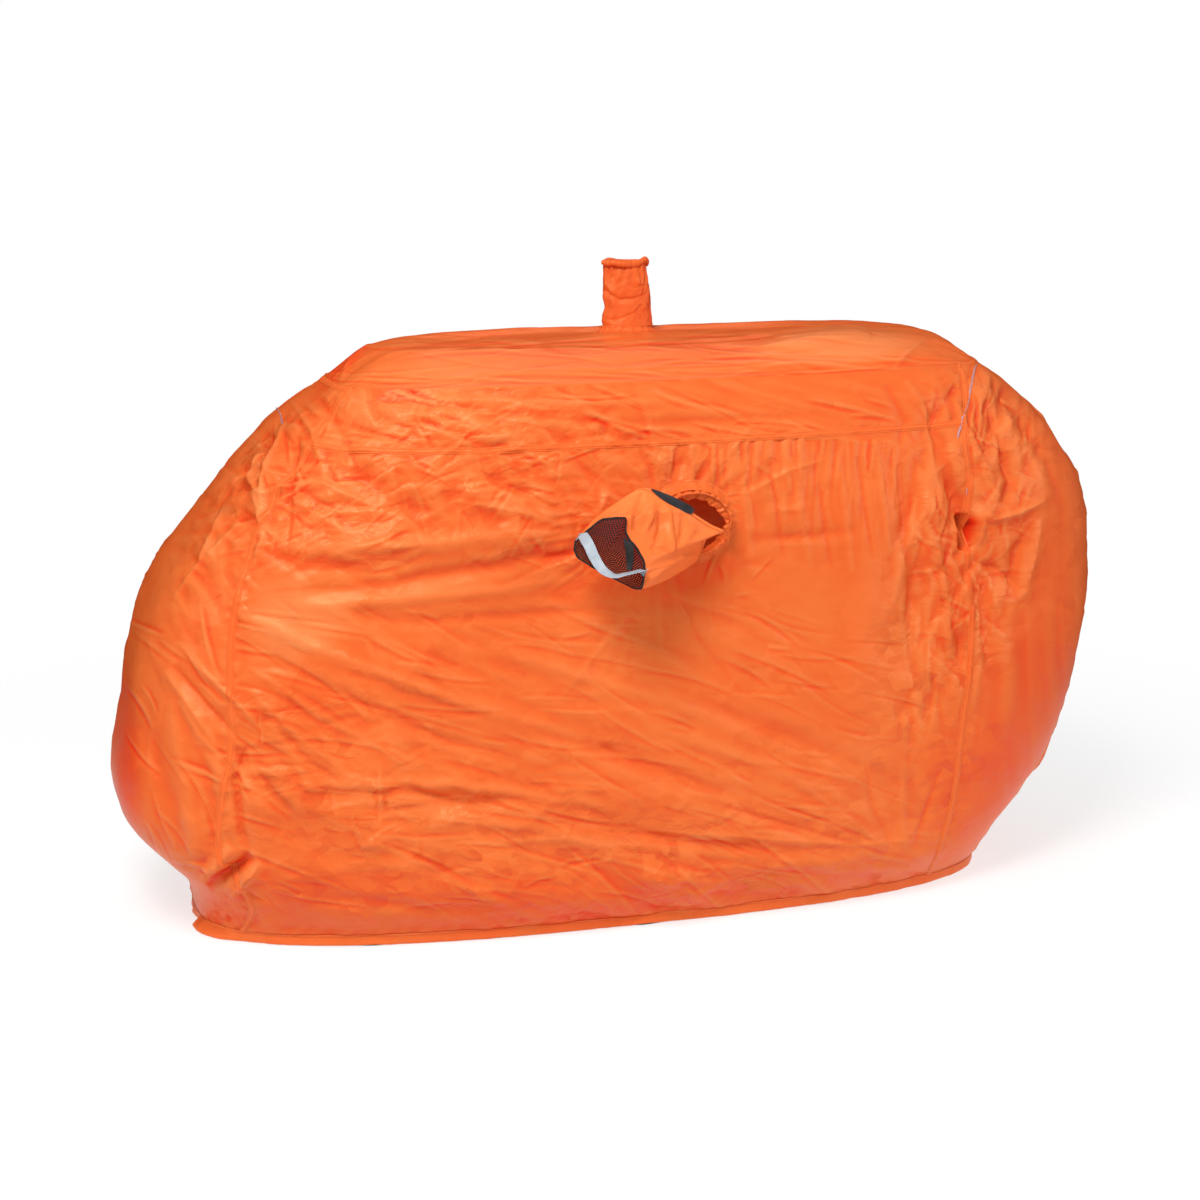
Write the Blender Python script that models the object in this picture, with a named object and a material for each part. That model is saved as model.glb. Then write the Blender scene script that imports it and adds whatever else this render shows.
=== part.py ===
"""Two-person bothy bag (group survival shelter), standing as when people sit in it.

Metres, +Z up, X along the length, -Y towards the side with the front vent.
The shell is described by level rings: each ring is a super-ellipse with its own
ends, front, back and squareness, and the fabric panels are cut out of it.
"""

import math

import bmesh
import bpy
import numpy as np

for old in list(bpy.data.objects):
    bpy.data.objects.remove(old, do_unlink=True)

# ---------------------------------------------------------------- dimensions
ORIGIN = (0.0114, -0.0303)     # centre of the whole outline, moved to x = y = 0
GAP = 0.0003                   # clearance between sewn or touching pieces

# ring: position up the shell, height, left, right, front, back, squareness, tilts
RINGS = (
    (0.00, 0.000, -0.610, 0.565, -0.215, 0.200, 2.7, 0.000, 0.000),
    (0.08, 0.060, -0.620, 0.585, -0.262, 0.245, 3.0, 0.000, 0.000),
    (0.20, 0.160, -0.705, 0.665, -0.278, 0.285, 3.0, 0.000, 0.000),
    (0.38, 0.310, -0.698, 0.718, -0.274, 0.315, 3.3, 0.000, 0.000),
    (0.55, 0.460, -0.658, 0.735, -0.260, 0.325, 3.5, 0.000, 0.000),
    (0.72, 0.600, -0.558, 0.705, -0.248, 0.285, 3.5, 0.000, 0.000),
    (0.86, 0.698, -0.476, 0.625, -0.231, 0.230, 3.4, 0.013, 0.070),
    (1.00, 0.757, -0.404, 0.540, -0.199, 0.178, 3.3, 0.012, -0.010),
    (1.08, 0.792, -0.354, 0.500, -0.157, 0.132, 3.1, 0.006, 0.030),
    (1.30, 0.800, -0.213, 0.307, -0.083, 0.074, 2.8, 0.006, 0.020),
    (1.60, 0.806, -0.020, 0.030, -0.010, 0.010, 2.0, 0.020, 0.020),
)
# where the front corner seams run round the shell, in degrees of ring parameter
SEAM_UP = (0.00, 0.08, 0.19, 0.28, 0.44, 0.58, 0.70, 0.86, 1.00)
SEAM_LEFT = (206.0, 213.0, 219.0, 222.0, 222.0, 217.0, 209.0, 203.0, 199.0)
SEAM_RIGHT = (317.0, 311.0, 305.0, 301.0, 297.0, 294.5, 295.0, 303.0, 323.0)

LEVELS = (0.0, 0.0175, 0.09, 0.19, 0.30, 0.42, 0.54, 0.66, 0.77, 0.86,
          0.93, 1.00, 1.08, 1.19, 1.32, 1.46)
HEM_TOP, EAVES, RIDGE = 1, 9, 11       # levels that carry a seam
FRONT, SIDE = 16, 11                   # columns of a long and of an end panel
COLUMNS = 2 * (FRONT + SIDE)
# the columns that carry the corner seams
FL, FR, BR, BL = 0, FRONT, FRONT + SIDE, 2 * FRONT + SIDE

CLOTH = 0.0024                 # fabric stand-in thickness
TAPE = 0.0010                  # seam tape thickness
TAPE_OFF = 0.0016              # seam tape to panel
TAPE_HALF = 0.005              # half the width of a seam tape
HEM_DEPTH = 0.006              # thickness of the folded hem

# top vent: a sleeve on the roof with a drawcord mouth
TOP_X, TOP_Y, TOP_Z = 0.050, 0.060, 0.8065
TOP_HINGE = 0.024              # height of its fold above the roof
TOP_MOUTH = 0.0923             # height of the drawcord channel above the roof

# front vent: a round opening with a gathered rim, and the stuff sack sewn to it
FRONT_X, FRONT_Y, FRONT_Z = 0.042, -0.252, 0.575
FRONT_A, FRONT_B = 0.0550, 0.0450
SACK_HINGE = (0.1050, -0.2900)
MOUTH_C, MOUTH_A, MOUTH_B = (0.034, -0.304, 0.585), 0.055, 0.034
MOUTH_E1, MOUTH_N = (0.87, 0.167, -0.46), (-0.25, -0.80, -0.45)
BASE_C, BASE_R, BASE_N = (-0.101, -0.343, 0.557), 0.0500, (-0.50, -0.84, 0.15)
STRAP_HALF, STRAP_BOW, STRAP_WIDE, STRAP_OFF = 0.0465, 0.030, 0.012, 0.008

# barrel cord lock, drawn with its button towards +X
LOCK_R, LOCK_BORE, LOCK_BACK, LOCK_FRONT = 0.0065, 0.0044, -0.012, 0.008
PLUNGER_R, PLUNGER_BACK, PLUNGER_FRONT = 0.0041, -0.0044, 0.0115
BUTTON_TRAVEL = 0.003
CORD_R, CORD_HALF_PITCH = 0.0011, 0.0012

ORANGE = (0.90, 0.17, 0.035)
ORANGE_SMOOTH = (0.93, 0.22, 0.045)
BLACK = (0.015, 0.014, 0.014)
MESH_BLACK = (0.03, 0.02, 0.02)
SILVER = (0.50, 0.54, 0.57)
GREY_CORD = (0.10, 0.10, 0.11)
STEEL = (0.55, 0.55, 0.56)


# ---------------------------------------------------------------- helpers
def material(name, colour, rough=0.6, metal=0.0):
    found = bpy.data.materials.get(name)
    if found:
        return found
    made = bpy.data.materials.new(name)
    made.use_nodes = True
    shader = made.node_tree.nodes["Principled BSDF"]
    shader.inputs["Base Color"].default_value = (*colour, 1.0)
    shader.inputs["Roughness"].default_value = rough
    shader.inputs["Metallic"].default_value = metal
    made.diffuse_color = (*colour, 1.0)
    return made


def moved(p):
    p = np.asarray(p, float).copy()
    p[..., 0] -= ORIGIN[0]
    p[..., 1] -= ORIGIN[1]
    return p


def solid(name, points, faces, mat, smooth=False, at=(0.0, 0.0, 0.0)):
    """An object with its origin at a given point, its normals made to face out."""
    at = np.asarray(at, float)
    mesh = bpy.data.meshes.new(name)
    mesh.from_pydata([tuple(float(c) for c in p) for p in np.asarray(points) - at], [],
                     [tuple(int(i) for i in f) for f in faces])
    work = bmesh.new()
    work.from_mesh(mesh)
    bmesh.ops.recalc_face_normals(work, faces=work.faces)
    work.to_mesh(mesh)
    work.free()
    mesh.materials.append(mat)
    if smooth:
        mesh.shade_smooth()
        mesh.set_sharp_from_angle(angle=math.radians(35))
    made = bpy.data.objects.new(name, mesh)
    made.location = moved(at)
    bpy.context.scene.collection.objects.link(made)
    return made


def hidden(made):
    made.hide_render = True
    made.display_type = "WIRE"
    return made


def cut(target, cutter, name):
    hole = target.modifiers.new(name, "BOOLEAN")
    hole.operation = "DIFFERENCE"
    hole.solver = "EXACT"
    hole.object = hidden(cutter)


def unit(v):
    v = np.asarray(v, float)
    return v / np.linalg.norm(v, axis=-1, keepdims=True)


def eased(xs, ys, x):
    """A smooth curve through the knots, without overshoot at even steps."""
    xs, ys = np.asarray(xs, float), np.asarray(ys, float)
    step = np.diff(xs)
    slope = np.diff(ys) / step
    m = np.empty_like(ys)
    m[1:-1] = (slope[:-1] * step[1:] + slope[1:] * step[:-1]) / (step[1:] + step[:-1])
    m[0], m[-1] = slope[0], slope[-1]
    i = np.clip(np.searchsorted(xs, x) - 1, 0, len(step) - 1)
    t = (x - xs[i]) / step[i]
    return ((2 * t**3 - 3 * t**2 + 1) * ys[i] + (t**3 - 2 * t**2 + t) * step[i] * m[i]
            + (3 * t**2 - 2 * t**3) * ys[i + 1] + (t**3 - t**2) * step[i] * m[i + 1])


def swept(rings, capped=True, loop=False):
    """Faces joining rings of equal length, in point order."""
    k, n = len(rings), len(rings[0])
    points = np.concatenate([np.asarray(r, float) for r in rings])
    faces = []
    for i in range(k if loop else k - 1):
        a, b = i * n, ((i + 1) % k) * n
        for j in range(n):
            j2 = (j + 1) % n
            faces.append((a + j, a + j2, b + j2, b + j))
    if capped and not loop:
        faces.append(tuple(range(n - 1, -1, -1)))
        faces.append(tuple(range((k - 1) * n, k * n)))
    return points, faces


def ellipse(a, b, n, start=0.0):
    t = start + 2 * math.pi * np.arange(n) / n
    return np.stack([a * np.cos(t), b * np.sin(t)], -1)


# ---------------------------------------------------------------- shell surface
def ring_points(up, degrees):
    up_of = [r[0] for r in RINGS]
    z, xl, xr, yf, yb, n, tx, ty = (eased(up_of, [r[k] for r in RINGS], up) for k in range(1, 9))
    t = np.radians(degrees)
    c, s = np.cos(t), np.sin(t)
    ux = np.sign(c) * np.abs(c) ** (2 / n)
    uy = np.sign(s) * np.abs(s) ** (2 / n)
    x = (xl + xr) / 2 + (xr - xl) / 2 * ux
    y = (yf + yb) / 2 + (yb - yf) / 2 * uy
    return np.stack([x, y, z + tx * x + ty * y], -1)


def column_points(up):
    """The points of one ring, spread evenly along the fabric between the corner seams."""
    top = min(up, SEAM_UP[-1])
    left = float(eased(SEAM_UP, SEAM_LEFT, top))
    right = float(eased(SEAM_UP, SEAM_RIGHT, top))
    spans = ((left, right, FRONT), (right, 720 - right, SIDE),
             (720 - right, 720 - left, FRONT), (360 - left, left, SIDE))
    out = []
    for a, b, count in spans:
        dense = ring_points(up, np.linspace(a, b, 721))
        run = np.concatenate([[0], np.cumsum(np.linalg.norm(np.diff(dense, axis=0), axis=1))])
        want = np.arange(count) / count * run[-1]
        out.append(np.stack([np.interp(want, run, dense[:, k]) for k in range(3)], -1))
    return np.concatenate(out)


GRID = np.stack([column_points(up) for up in LEVELS], axis=1)     # column, level, xyz
AROUND = np.roll(GRID, -1, axis=0) - np.roll(GRID, 1, axis=0)
UPWARD = np.gradient(GRID, axis=1)
NORMAL = unit(np.cross(AROUND, UPWARD))
NORMAL[:, 0] = unit(NORMAL[:, 0] * np.array([1, 1, 0]))
APEX = np.array([0.005, 0.0, 0.8065])


def shell_at(column, level):
    """Point and normal on the flat facets between grid points."""
    i0, j0 = int(math.floor(column)), min(int(math.floor(level)), len(LEVELS) - 2)
    u, v = column - i0, level - j0
    i0, i1 = i0 % COLUMNS, (i0 + 1) % COLUMNS

    def mix(field):
        return ((1 - u) * (1 - v) * field[i0, j0] + u * (1 - v) * field[i1, j0]
                + (1 - u) * v * field[i0, j0 + 1] + u * v * field[i1, j0 + 1])

    return mix(GRID), unit(mix(NORMAL))


def panel(name, cells, fan=False, mat=None):
    """A closed sheet over the given grid cells, its edges drawn in a little."""
    quads = [((i, j), (i + 1, j), (i + 1, j + 1), (i, j + 1)) for i, j in cells]
    quads = [tuple((i % COLUMNS, j) for i, j in q) for q in quads]
    if fan:
        last = len(LEVELS) - 1
        quads += [((i, last), ((i + 1) % COLUMNS, last), "apex") for i in range(COLUMNS)]
    keys = sorted({k for q in quads for k in q if k != "apex"})
    place = {k: n for n, k in enumerate(keys)}
    outer = np.array([GRID[k] for k in keys])
    normal = np.array([NORMAL[k] for k in keys])
    if fan:
        place["apex"] = len(keys)
        outer = np.vstack([outer, APEX])
        normal = np.vstack([normal, (0, 0, 1)])
    edges = {}
    for q in quads:
        for a, b in zip(q, q[1:] + q[:1]):
            edges[(a, b)] = q
    rim = [(a, b) for a, b in edges if (b, a) not in edges]
    pull = np.zeros_like(outer)
    for a, b in rim:
        middle = outer[[place[k] for k in edges[(a, b)]]].mean(0)
        along = outer[place[b]] - outer[place[a]]
        inward = middle - (outer[place[a]] + outer[place[b]]) / 2
        inward = unit(inward - along * inward.dot(along) / along.dot(along))
        pull[place[a]] += inward
        pull[place[b]] += inward
    on_rim = np.linalg.norm(pull, axis=1) > 1e-9
    outer[on_rim] += np.clip(pull[on_rim], -1, 1) * 0.0002
    inner = outer - normal * CLOTH
    n = len(outer)
    faces = [tuple(place[k] for k in q) for q in quads]
    faces += [tuple(n + place[k] for k in reversed(q)) for q in quads]
    faces += [(place[b], place[a], n + place[a], n + place[b]) for a, b in rim]
    return solid(name, np.vstack([outer, inner]), faces, mat)


def tape(name, stations, mat, sideways, half=TAPE_HALF, outside=False, thick=TAPE):
    """A strip along a seam, bent over it as the panels are.

    stations are (column, level); sideways is "column" or "level"."""
    rings = []
    for column, level in stations:
        centre, _ = shell_at(column, level)
        across = []
        for side in (-1, 0, 1):
            probe = 0.25 * side
            if sideways == "column":
                there, _ = shell_at(column + probe, level)
            else:
                there, _ = shell_at(column, level + probe)
            reach = np.linalg.norm(there - centre)
            share = 0 if side == 0 else probe * half / reach
            at = (column + share, level) if sideways == "column" else (column, level + share)
            across.append(shell_at(*at))
        off = -(CLOTH + TAPE_OFF) if not outside else TAPE_OFF + thick
        rings.append([p + n * off for p, n in across] + [p + n * (off - thick) for p, n in across[::-1]])
    points, faces = swept(rings)
    return solid(name, points, faces, mat)


# ---------------------------------------------------------------- fabric panels
cloth = material("orange_ripstop", ORANGE, 0.55)
tape_mat = material("seam_tape", (0.62, 0.10, 0.03), 0.7)
hem_mat = material("hem_tape", (0.70, 0.11, 0.03), 0.7)
seat_mat = material("seat_fabric", BLACK, 0.7)
silver = material("reflective_tape", SILVER, 0.35)

walls = range(HEM_TOP, EAVES)
ends = range(HEM_TOP, RIDGE)
front_panel = panel("front_panel", [(i, j) for i in range(FL, FR) for j in walls], mat=cloth)
back_panel = panel("back_panel", [(i, j) for i in range(BR, BL) for j in walls], mat=cloth)
right_end_panel = panel("right_end_panel", [(i, j) for i in range(FR, BR) for j in ends], mat=cloth)
left_end_panel = panel("left_end_panel", [(i, j) for i in range(BL, COLUMNS) for j in ends], mat=cloth)
roof_cells = [(i, j) for j in range(RIDGE, len(LEVELS) - 1) for i in range(COLUMNS)]
roof_cells += [(i, j) for j in range(EAVES, RIDGE)
               for i in list(range(FL, FR)) + list(range(BR, BL))]
roof_panel = panel("roof_panel", roof_cells, fan=True, mat=cloth)

# seam tapes inside: four corners, the two eaves and the two roof ends
corner_levels = [HEM_TOP + 0.25] + list(range(HEM_TOP + 1, RIDGE)) + [RIDGE - 0.22]
for corner, column in (("front_left", FL), ("front_right", FR), ("back_right", BR), ("back_left", BL)):
    tape("corner_tape_" + corner, [(column, level) for level in corner_levels], tape_mat, "column")
for side, first, last in (("front", FL, FR), ("back", BR, BL)):
    tape("eaves_tape_" + side, [(c, EAVES) for c in [first + 0.3, *range(first + 1, last), last - 0.3]],
         tape_mat, "level")
for side, first, last in (("right", FR, BR), ("left", BL, COLUMNS)):
    tape("roof_end_tape_" + side, [(c, RIDGE) for c in [first + 0.3, *range(first + 1, last), last - 0.3]],
         tape_mat, "level")

# grey reflective piping on the two front corner seams, from the roof end down
for side, column in (("left", FL), ("right", FR)):
    tape("piping_" + side, [(column, level) for level in (7.45, 8, 9, 10, 10.8)], silver,
         "column", half=0.0022, outside=True, thick=0.0022)

# hem: the panels' lower edge folded into a channel, flat on the ground
for side, first, last in (("front", FL, FR), ("right", FR, BR), ("back", BR, BL), ("left", BL, COLUMNS)):
    rings = []
    count = last - first
    for k in range(count + 1):
        low, out = shell_at(first + k, 0)
        high, _ = shell_at(first + k, 1)
        out = unit(out * np.array([1, 1, 0]))
        along = unit(GRID[(first + k + 1) % COLUMNS, 0] - GRID[(first + k - 1) % COLUMNS, 0])
        draw = along * (0.0002 if k == 0 else -0.0002 if k == count else 0.0)
        top = high + (low - high) * 0.05
        rings.append([low + draw, top + draw, top - out * HEM_DEPTH + draw, low - out * HEM_DEPTH + draw])
    points, faces = swept(rings)
    solid("hem_" + side, points, faces, hem_mat)


# tough seat panels along the two long hems, which people sit on
for side, first, last, edge in (("front", FL + 2, FR - 2, -0.045), ("back", BR + 2, BL - 2, 0.032)):
    rings = []
    for c in range(first, last + 1):
        low, out = shell_at(c, 0)
        near = low - unit(out * np.array([1, 1, 0])) * (HEM_DEPTH + GAP)
        far = np.array([near[0], edge, 0.0])
        rings.append([near, far, far + np.array([0, 0, 0.0015]), near + np.array([0, 0, 0.0015])])
    points, faces = swept(rings)
    solid("seat_panel_" + side, points, faces, seat_mat)


# ---------------------------------------------------------------- tubes and channels
def sleeve(name, sections, mat, wall=0.0016, at=(0, 0, 0), n=28, smooth=True):
    """An open tube through (centre, e1, e2, a, b) sections, of even wall."""
    rings = []
    for c, e1, e2, a, b in sections:
        rings.append([np.asarray(c) + x * np.asarray(e1) + y * np.asarray(e2) for x, y in ellipse(a, b, n)])
    for c, e1, e2, a, b in reversed(sections):
        rings.append([np.asarray(c) + x * np.asarray(e1) + y * np.asarray(e2)
                      for x, y in ellipse(a - wall, b - wall, n)])
    points, faces = swept(rings, loop=True)
    return solid(name, points, faces, mat, smooth, at)


def channel(name, centre, e1, e2, axis, a, b, mat, opens, high=0.0088, reach=0.0035, skin=0.0013,
            at=(0, 0, 0), n=28):
    """A folded hem round a mouth: a U of fabric that holds the drawcord, open outwards or inwards."""
    r, h, s = reach, high, skin
    section = [(r, 0), (r, h), (-r, h), (-r, h - s), (r - s, h - s), (r - s, s), (-r, s), (-r, 0)]
    if opens == "out":
        section = [(-x, y) for x, y in section]
    rings = []
    for dr, up in section:
        rings.append([np.asarray(centre) + up * np.asarray(axis) + x * np.asarray(e1) + y * np.asarray(e2)
                      for x, y in ellipse(a + dr, b + dr, n)])
    points, faces = swept(rings, loop=True)
    return solid(name, points, faces, mat, True, at)


def cord(name, path, mat, radius=CORD_R, sides=6, at=(0, 0, 0)):
    path = np.asarray(path, float)
    along = unit(np.gradient(path, axis=0))
    side = unit(np.cross(along[0], (0.31, 0.72, 0.58)))
    rings = []
    for p, t in zip(path, along):
        side = unit(side - t * side.dot(t))
        up = np.cross(t, side)
        rings.append([p + radius * (math.cos(k) * side + math.sin(k) * up)
                      for k in 2 * math.pi * np.arange(sides) / sides])
    points, faces = swept(rings)
    return solid(name, points, faces, mat, True, at)


X, Y, Z = np.eye(3)
top_base = np.array([TOP_X, TOP_Y, TOP_Z])
top_hinge = top_base + Z * TOP_HINGE


def top_section(h, a, b):
    return (top_base + Z * h, X, Y, a, b)


# hole in the roof and the vent that stands over it
hole_points, hole_faces = swept([[top_base + Z * h + X * x + Y * y for x, y in ellipse(0.0383, 0.0263, 28)]
                                 for h in (-0.03, 0.03)])
cut(roof_panel, solid("cutter_roof_vent", hole_points, hole_faces, cloth), "vent_hole")
sleeve("top_vent_collar", [top_section(-0.008, 0.038, 0.026), top_section(0.0075, 0.036, 0.0235)], cloth)
sleeve("top_vent_lower_sleeve", [top_section(0.0078, 0.036, 0.0235), top_section(0.024, 0.0335, 0.021),
                                 top_section(0.0400, 0.034, 0.020)], cloth)
sleeve("top_vent_sleeve", [top_section(0.0403, 0.034, 0.020), top_section(0.058, 0.0345, 0.018),
                           top_section(0.075, 0.031, 0.015), top_section(0.0920, 0.0285, 0.0125)],
       cloth, at=top_hinge)
channel("top_vent_channel", top_base + Z * TOP_MOUTH, X, Y, Z, 0.0280, 0.0125, hem_mat, "out", at=top_hinge)


# ---------------------------------------------------------------- cord locks
def framed(origin, ex, ey, ez):
    """Turns local coordinates of a cord lock into the object's."""
    ex, ey, ez = (np.asarray(v, float) for v in (ex, ey, ez))
    return lambda p: (np.asarray(origin, float) + np.asarray(p)[..., 0:1] * ex
                      + np.asarray(p)[..., 1:2] * ey + np.asarray(p)[..., 2:3] * ez)


def turned(profile, n=16):
    """Rings of a piece turned about its local X axis, from (x, radius) pairs."""
    t = 2 * math.pi * np.arange(n) / n
    return [np.stack([np.full(n, x), r * np.cos(t), r * np.sin(t)], -1) for x, r in profile]


def cord_lock(prefix, origin, ex, ey, ez):
    """Barrel lock: body, coil spring and button, cut through for the two cord ends."""
    to = framed(origin, ex, ey, ez)
    plastic = material("black_plastic", BLACK, 0.4)
    points, faces = swept(turned([(LOCK_BACK, 0.0052), (LOCK_BACK + 0.0012, LOCK_R), (LOCK_FRONT - 0.001, LOCK_R),
                                  (LOCK_FRONT, 0.0058), (LOCK_FRONT, LOCK_BORE), (-0.0105, LOCK_BORE)]))
    body = solid(prefix + "_lock_body", to(points), faces, plastic, True, at=origin)
    slots = []
    for name, x0, x1, half, span in (("body", -0.0028, 0.0028, 0.0018, 0.010),
                                     ("button", -0.0026, 0.0026 + BUTTON_TRAVEL, 0.0015, 0.010)):
        corners = np.array([[x, y, z] for x in (x0, x1) for y in (-half, half) for z in (-span, span)])
        box = [(0, 1, 3, 2), (4, 6, 7, 5), (0, 4, 5, 1), (2, 3, 7, 6), (0, 2, 6, 4), (1, 5, 7, 3)]
        slots.append(solid(f"cutter_{prefix}_{name}", to(corners), box, plastic))
    cut(body, slots[0], "cord_hole")
    points, faces = swept(turned([(PLUNGER_BACK, PLUNGER_R), (PLUNGER_FRONT - 0.0012, PLUNGER_R),
                                  (PLUNGER_FRONT, 0.0030)]))
    button = solid(prefix + "_lock_button", to(points), faces, plastic, True, at=origin)
    cut(button, slots[1], "cord_slot")
    turns, steps, wire, coil = 3, 10, 0.00035, 0.0030
    k = np.arange(turns * steps + 1) / steps
    path = np.stack([-0.0101 + (0.0053 * k / turns), coil * np.cos(2 * math.pi * k), coil * np.sin(2 * math.pi * k)], -1)
    cord(prefix + "_lock_spring", to(path), material("spring_steel", STEEL, 0.3, 1.0), wire, 5, at=origin)
    return to


def ring_path(centre, e1, e2, a, b, first, last, count):
    t = np.radians(np.linspace(first, last, count))
    return [centre + a * math.cos(k) * e1 + b * math.sin(k) * e2 for k in t]


cord_mat = material("drawcord", GREY_CORD, 0.8)

# top vent drawcord: round the mouth, out at the back, down through the lock to a knot
lock_y = 0.0125 + 0.0035 + 0.0085
top_lock = top_base + np.array([0.0, lock_y, 0.0740])
cord_lock("top_vent", top_lock, X, Y, Z)
ring_c = top_base + Z * (TOP_MOUTH + 0.0044)
ring = ring_path(ring_c, X, Y, 0.0286, 0.0131, 90 - 9, 90 - 351, 33)
right_end = [top_lock + np.array([CORD_HALF_PITCH, 0, z]) for z in (-0.0125, 0.0, 0.0125)]
left_end = [top_lock + np.array([-CORD_HALF_PITCH, 0, z]) for z in (0.0125, 0.0, -0.0125)]
bend = [top_lock + np.array([0.0014, -0.0022, 0.0185]), ring_c + np.array([0.0026, 0.0178, -0.0004])]
back = [ring_c + np.array([-0.0026, 0.0178, -0.0004]), top_lock + np.array([-0.0014, -0.0022, 0.0185])]
cord("top_vent_drawcord", right_end + bend + ring + back + left_end, cord_mat, at=top_hinge)


def knot(name, centre, mat, at=(0, 0, 0)):
    rings = [[centre + np.array([r * math.cos(k), r * math.sin(k), h]) for k in 2 * math.pi * np.arange(10) / 10]
             for r, h in ((0.0024, 0.0), (0.0034, -0.0012), (0.0034, -0.0032), (0.0022, -0.0046))]
    points, faces = swept(rings)
    return solid(name, points, faces, mat, True, at)


knot("top_vent_cord_knot", top_lock - Z * (0.0125 + GAP), cord_mat, at=top_hinge)

# ---------------------------------------------------------------- front vent
front_c = np.array([FRONT_X, FRONT_Y, FRONT_Z])


def front_section(out, a, b):
    return (front_c - Y * out, X, Z, a, b)


hole_points, hole_faces = swept([[front_c + Y * h + X * x + Z * y for x, y in
                                  ellipse(FRONT_A + GAP, FRONT_B + GAP, 28)] for h in (-0.04, 0.04)])
cut(front_panel, solid("cutter_front_vent", hole_points, hole_faces, cloth), "vent_hole")
sleeve("front_vent_collar", [front_section(-0.014, FRONT_A, FRONT_B), front_section(0.0116, FRONT_A, FRONT_B)],
       cloth, wall=0.0018)
channel("front_vent_channel", front_c - Y * 0.0119, X, Z, -Y, FRONT_A - 0.0025, FRONT_B - 0.0025, hem_mat, "in")
ring_c = front_c - Y * (0.0119 + 0.0044)
ring = ring_path(ring_c, X, Z, FRONT_A - 0.0025, FRONT_B - 0.0025, 270 + 4, 270 + 356, 37)
front_lock = front_c + np.array([0.0, 0.0250, -0.0720])
cord_lock("front_vent", front_lock, X, Y, Z)
drop = FRONT_B - 0.0070
out_of = [ring_c + np.array([s * 0.0014, 0.0012, -drop + 0.004]) for s in (1, -1)]
over = [front_c + np.array([s * 0.0014, 0.0040, -drop + 0.006]) for s in (1, -1)]
past = [front_c + np.array([s * 0.0014, 0.0205, -drop + 0.002]) for s in (1, -1)]
down = [front_lock + np.array([s * CORD_HALF_PITCH, 0, 0.0210]) for s in (1, -1)]
right_end = [front_lock + np.array([CORD_HALF_PITCH, 0, z]) for z in (-0.0125, 0.0, 0.0120)]
left_end = [front_lock + np.array([-CORD_HALF_PITCH, 0, z]) for z in (0.0120, 0.0, -0.0125)]
cord("front_vent_drawcord", right_end + [down[0], past[0], over[0], out_of[0]] + ring
     + [out_of[1], over[1], past[1], down[1]] + left_end, cord_mat)
knot("front_vent_cord_knot", front_lock - Z * (0.0125 + GAP), cord_mat)

# ---------------------------------------------------------------- stuff sack
smooth_cloth = material("sack_nylon", ORANGE_SMOOTH, 0.45)
mesh_mat = material("vent_mesh", MESH_BLACK, 0.8)
binding = material("black_binding", BLACK, 0.75)
sack_axis = np.array([*SACK_HINGE, BASE_C[2]])


def frame_of(e1, normal):
    normal = unit(normal)
    e1 = np.asarray(e1, float)
    e1 = unit(e1 - normal * e1.dot(normal))
    return e1, np.cross(normal, e1), normal


m1, m2, mn = frame_of(MOUTH_E1, MOUTH_N)
b1, b2, bn = frame_of(MOUTH_E1, BASE_N)
mouth_c, base_c = np.array(MOUTH_C), np.array(BASE_C)


def sack_section(t, back=0.0):
    """Section from the mouth (0) to the base (1)."""
    e1, e2, n = frame_of(m1 * (1 - t) + b1 * t, mn * (1 - t) + bn * t)
    centre = mouth_c * (1 - t) + (base_c - bn * 0.004) * t - n * back
    a = MOUTH_A * (1 - t) + BASE_R * t
    b = MOUTH_B * (1 - t) + BASE_R * t
    return (centre, e1, e2, a, b)


sleeve("sack_sleeve", [sack_section(t) for t in (0.0, 0.2, 0.4, 0.6, 0.8, 1.0)], smooth_cloth,
       wall=0.0014, at=sack_axis, n=24)
c, e1, e2, a, b = sack_section(0.0)
sleeve("sack_mouth_hem", [(c - mn * 0.0043, e1, e2, a - 0.0004, b - 0.0004), (c - mn * 0.0003, e1, e2, a, b)],
       material("sack_hem", ORANGE_SMOOTH, 0.5), wall=0.0022, at=sack_axis, n=24)
sleeve("sack_base_binding", [(base_c - bn * 0.0034, b1, b2, 0.0508, 0.0508), (base_c + bn * 0.0015, b1, b2, 0.0508, 0.0508)],
       binding, wall=0.0024, at=sack_axis, n=24)
rings = []
for lift in (0.0, -0.0010):
    rows = [(0.0480, 0.0), (0.0320, 0.0040), (0.0160, 0.0066), (0.0030, 0.0074)]
    rows = rows if lift == 0.0 else rows[::-1]
    rings += [[base_c + bn * (h + lift) + x * b1 + y * b2 for x, y in ellipse(r, r, 24)] for r, h in rows]
points, faces = swept(rings)
# the two inner rings are closed by their own small discs, so the sheet is whole
order = [rings[0], rings[1], rings[2], rings[3]]
points = np.vstack([np.array(r) for r in order] + [np.array(r) - bn * 0.0010 for r in order])
n = 24
faces = []
for layer in (0, 4 * n):
    for row in range(3):
        for k in range(n):
            k2 = (k + 1) % n
            q = (layer + row * n + k, layer + row * n + k2, layer + (row + 1) * n + k2, layer + (row + 1) * n + k)
            faces.append(q if layer == 0 else q[::-1])
    cap = tuple(layer + 3 * n + k for k in range(n))
    faces.append(cap if layer == 0 else cap[::-1])
faces += [(k, 4 * n + k, 4 * n + (k + 1) % n, (k + 1) % n) for k in range(n)]
solid("sack_mesh_base", points, faces, mesh_mat, True, at=sack_axis)


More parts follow.
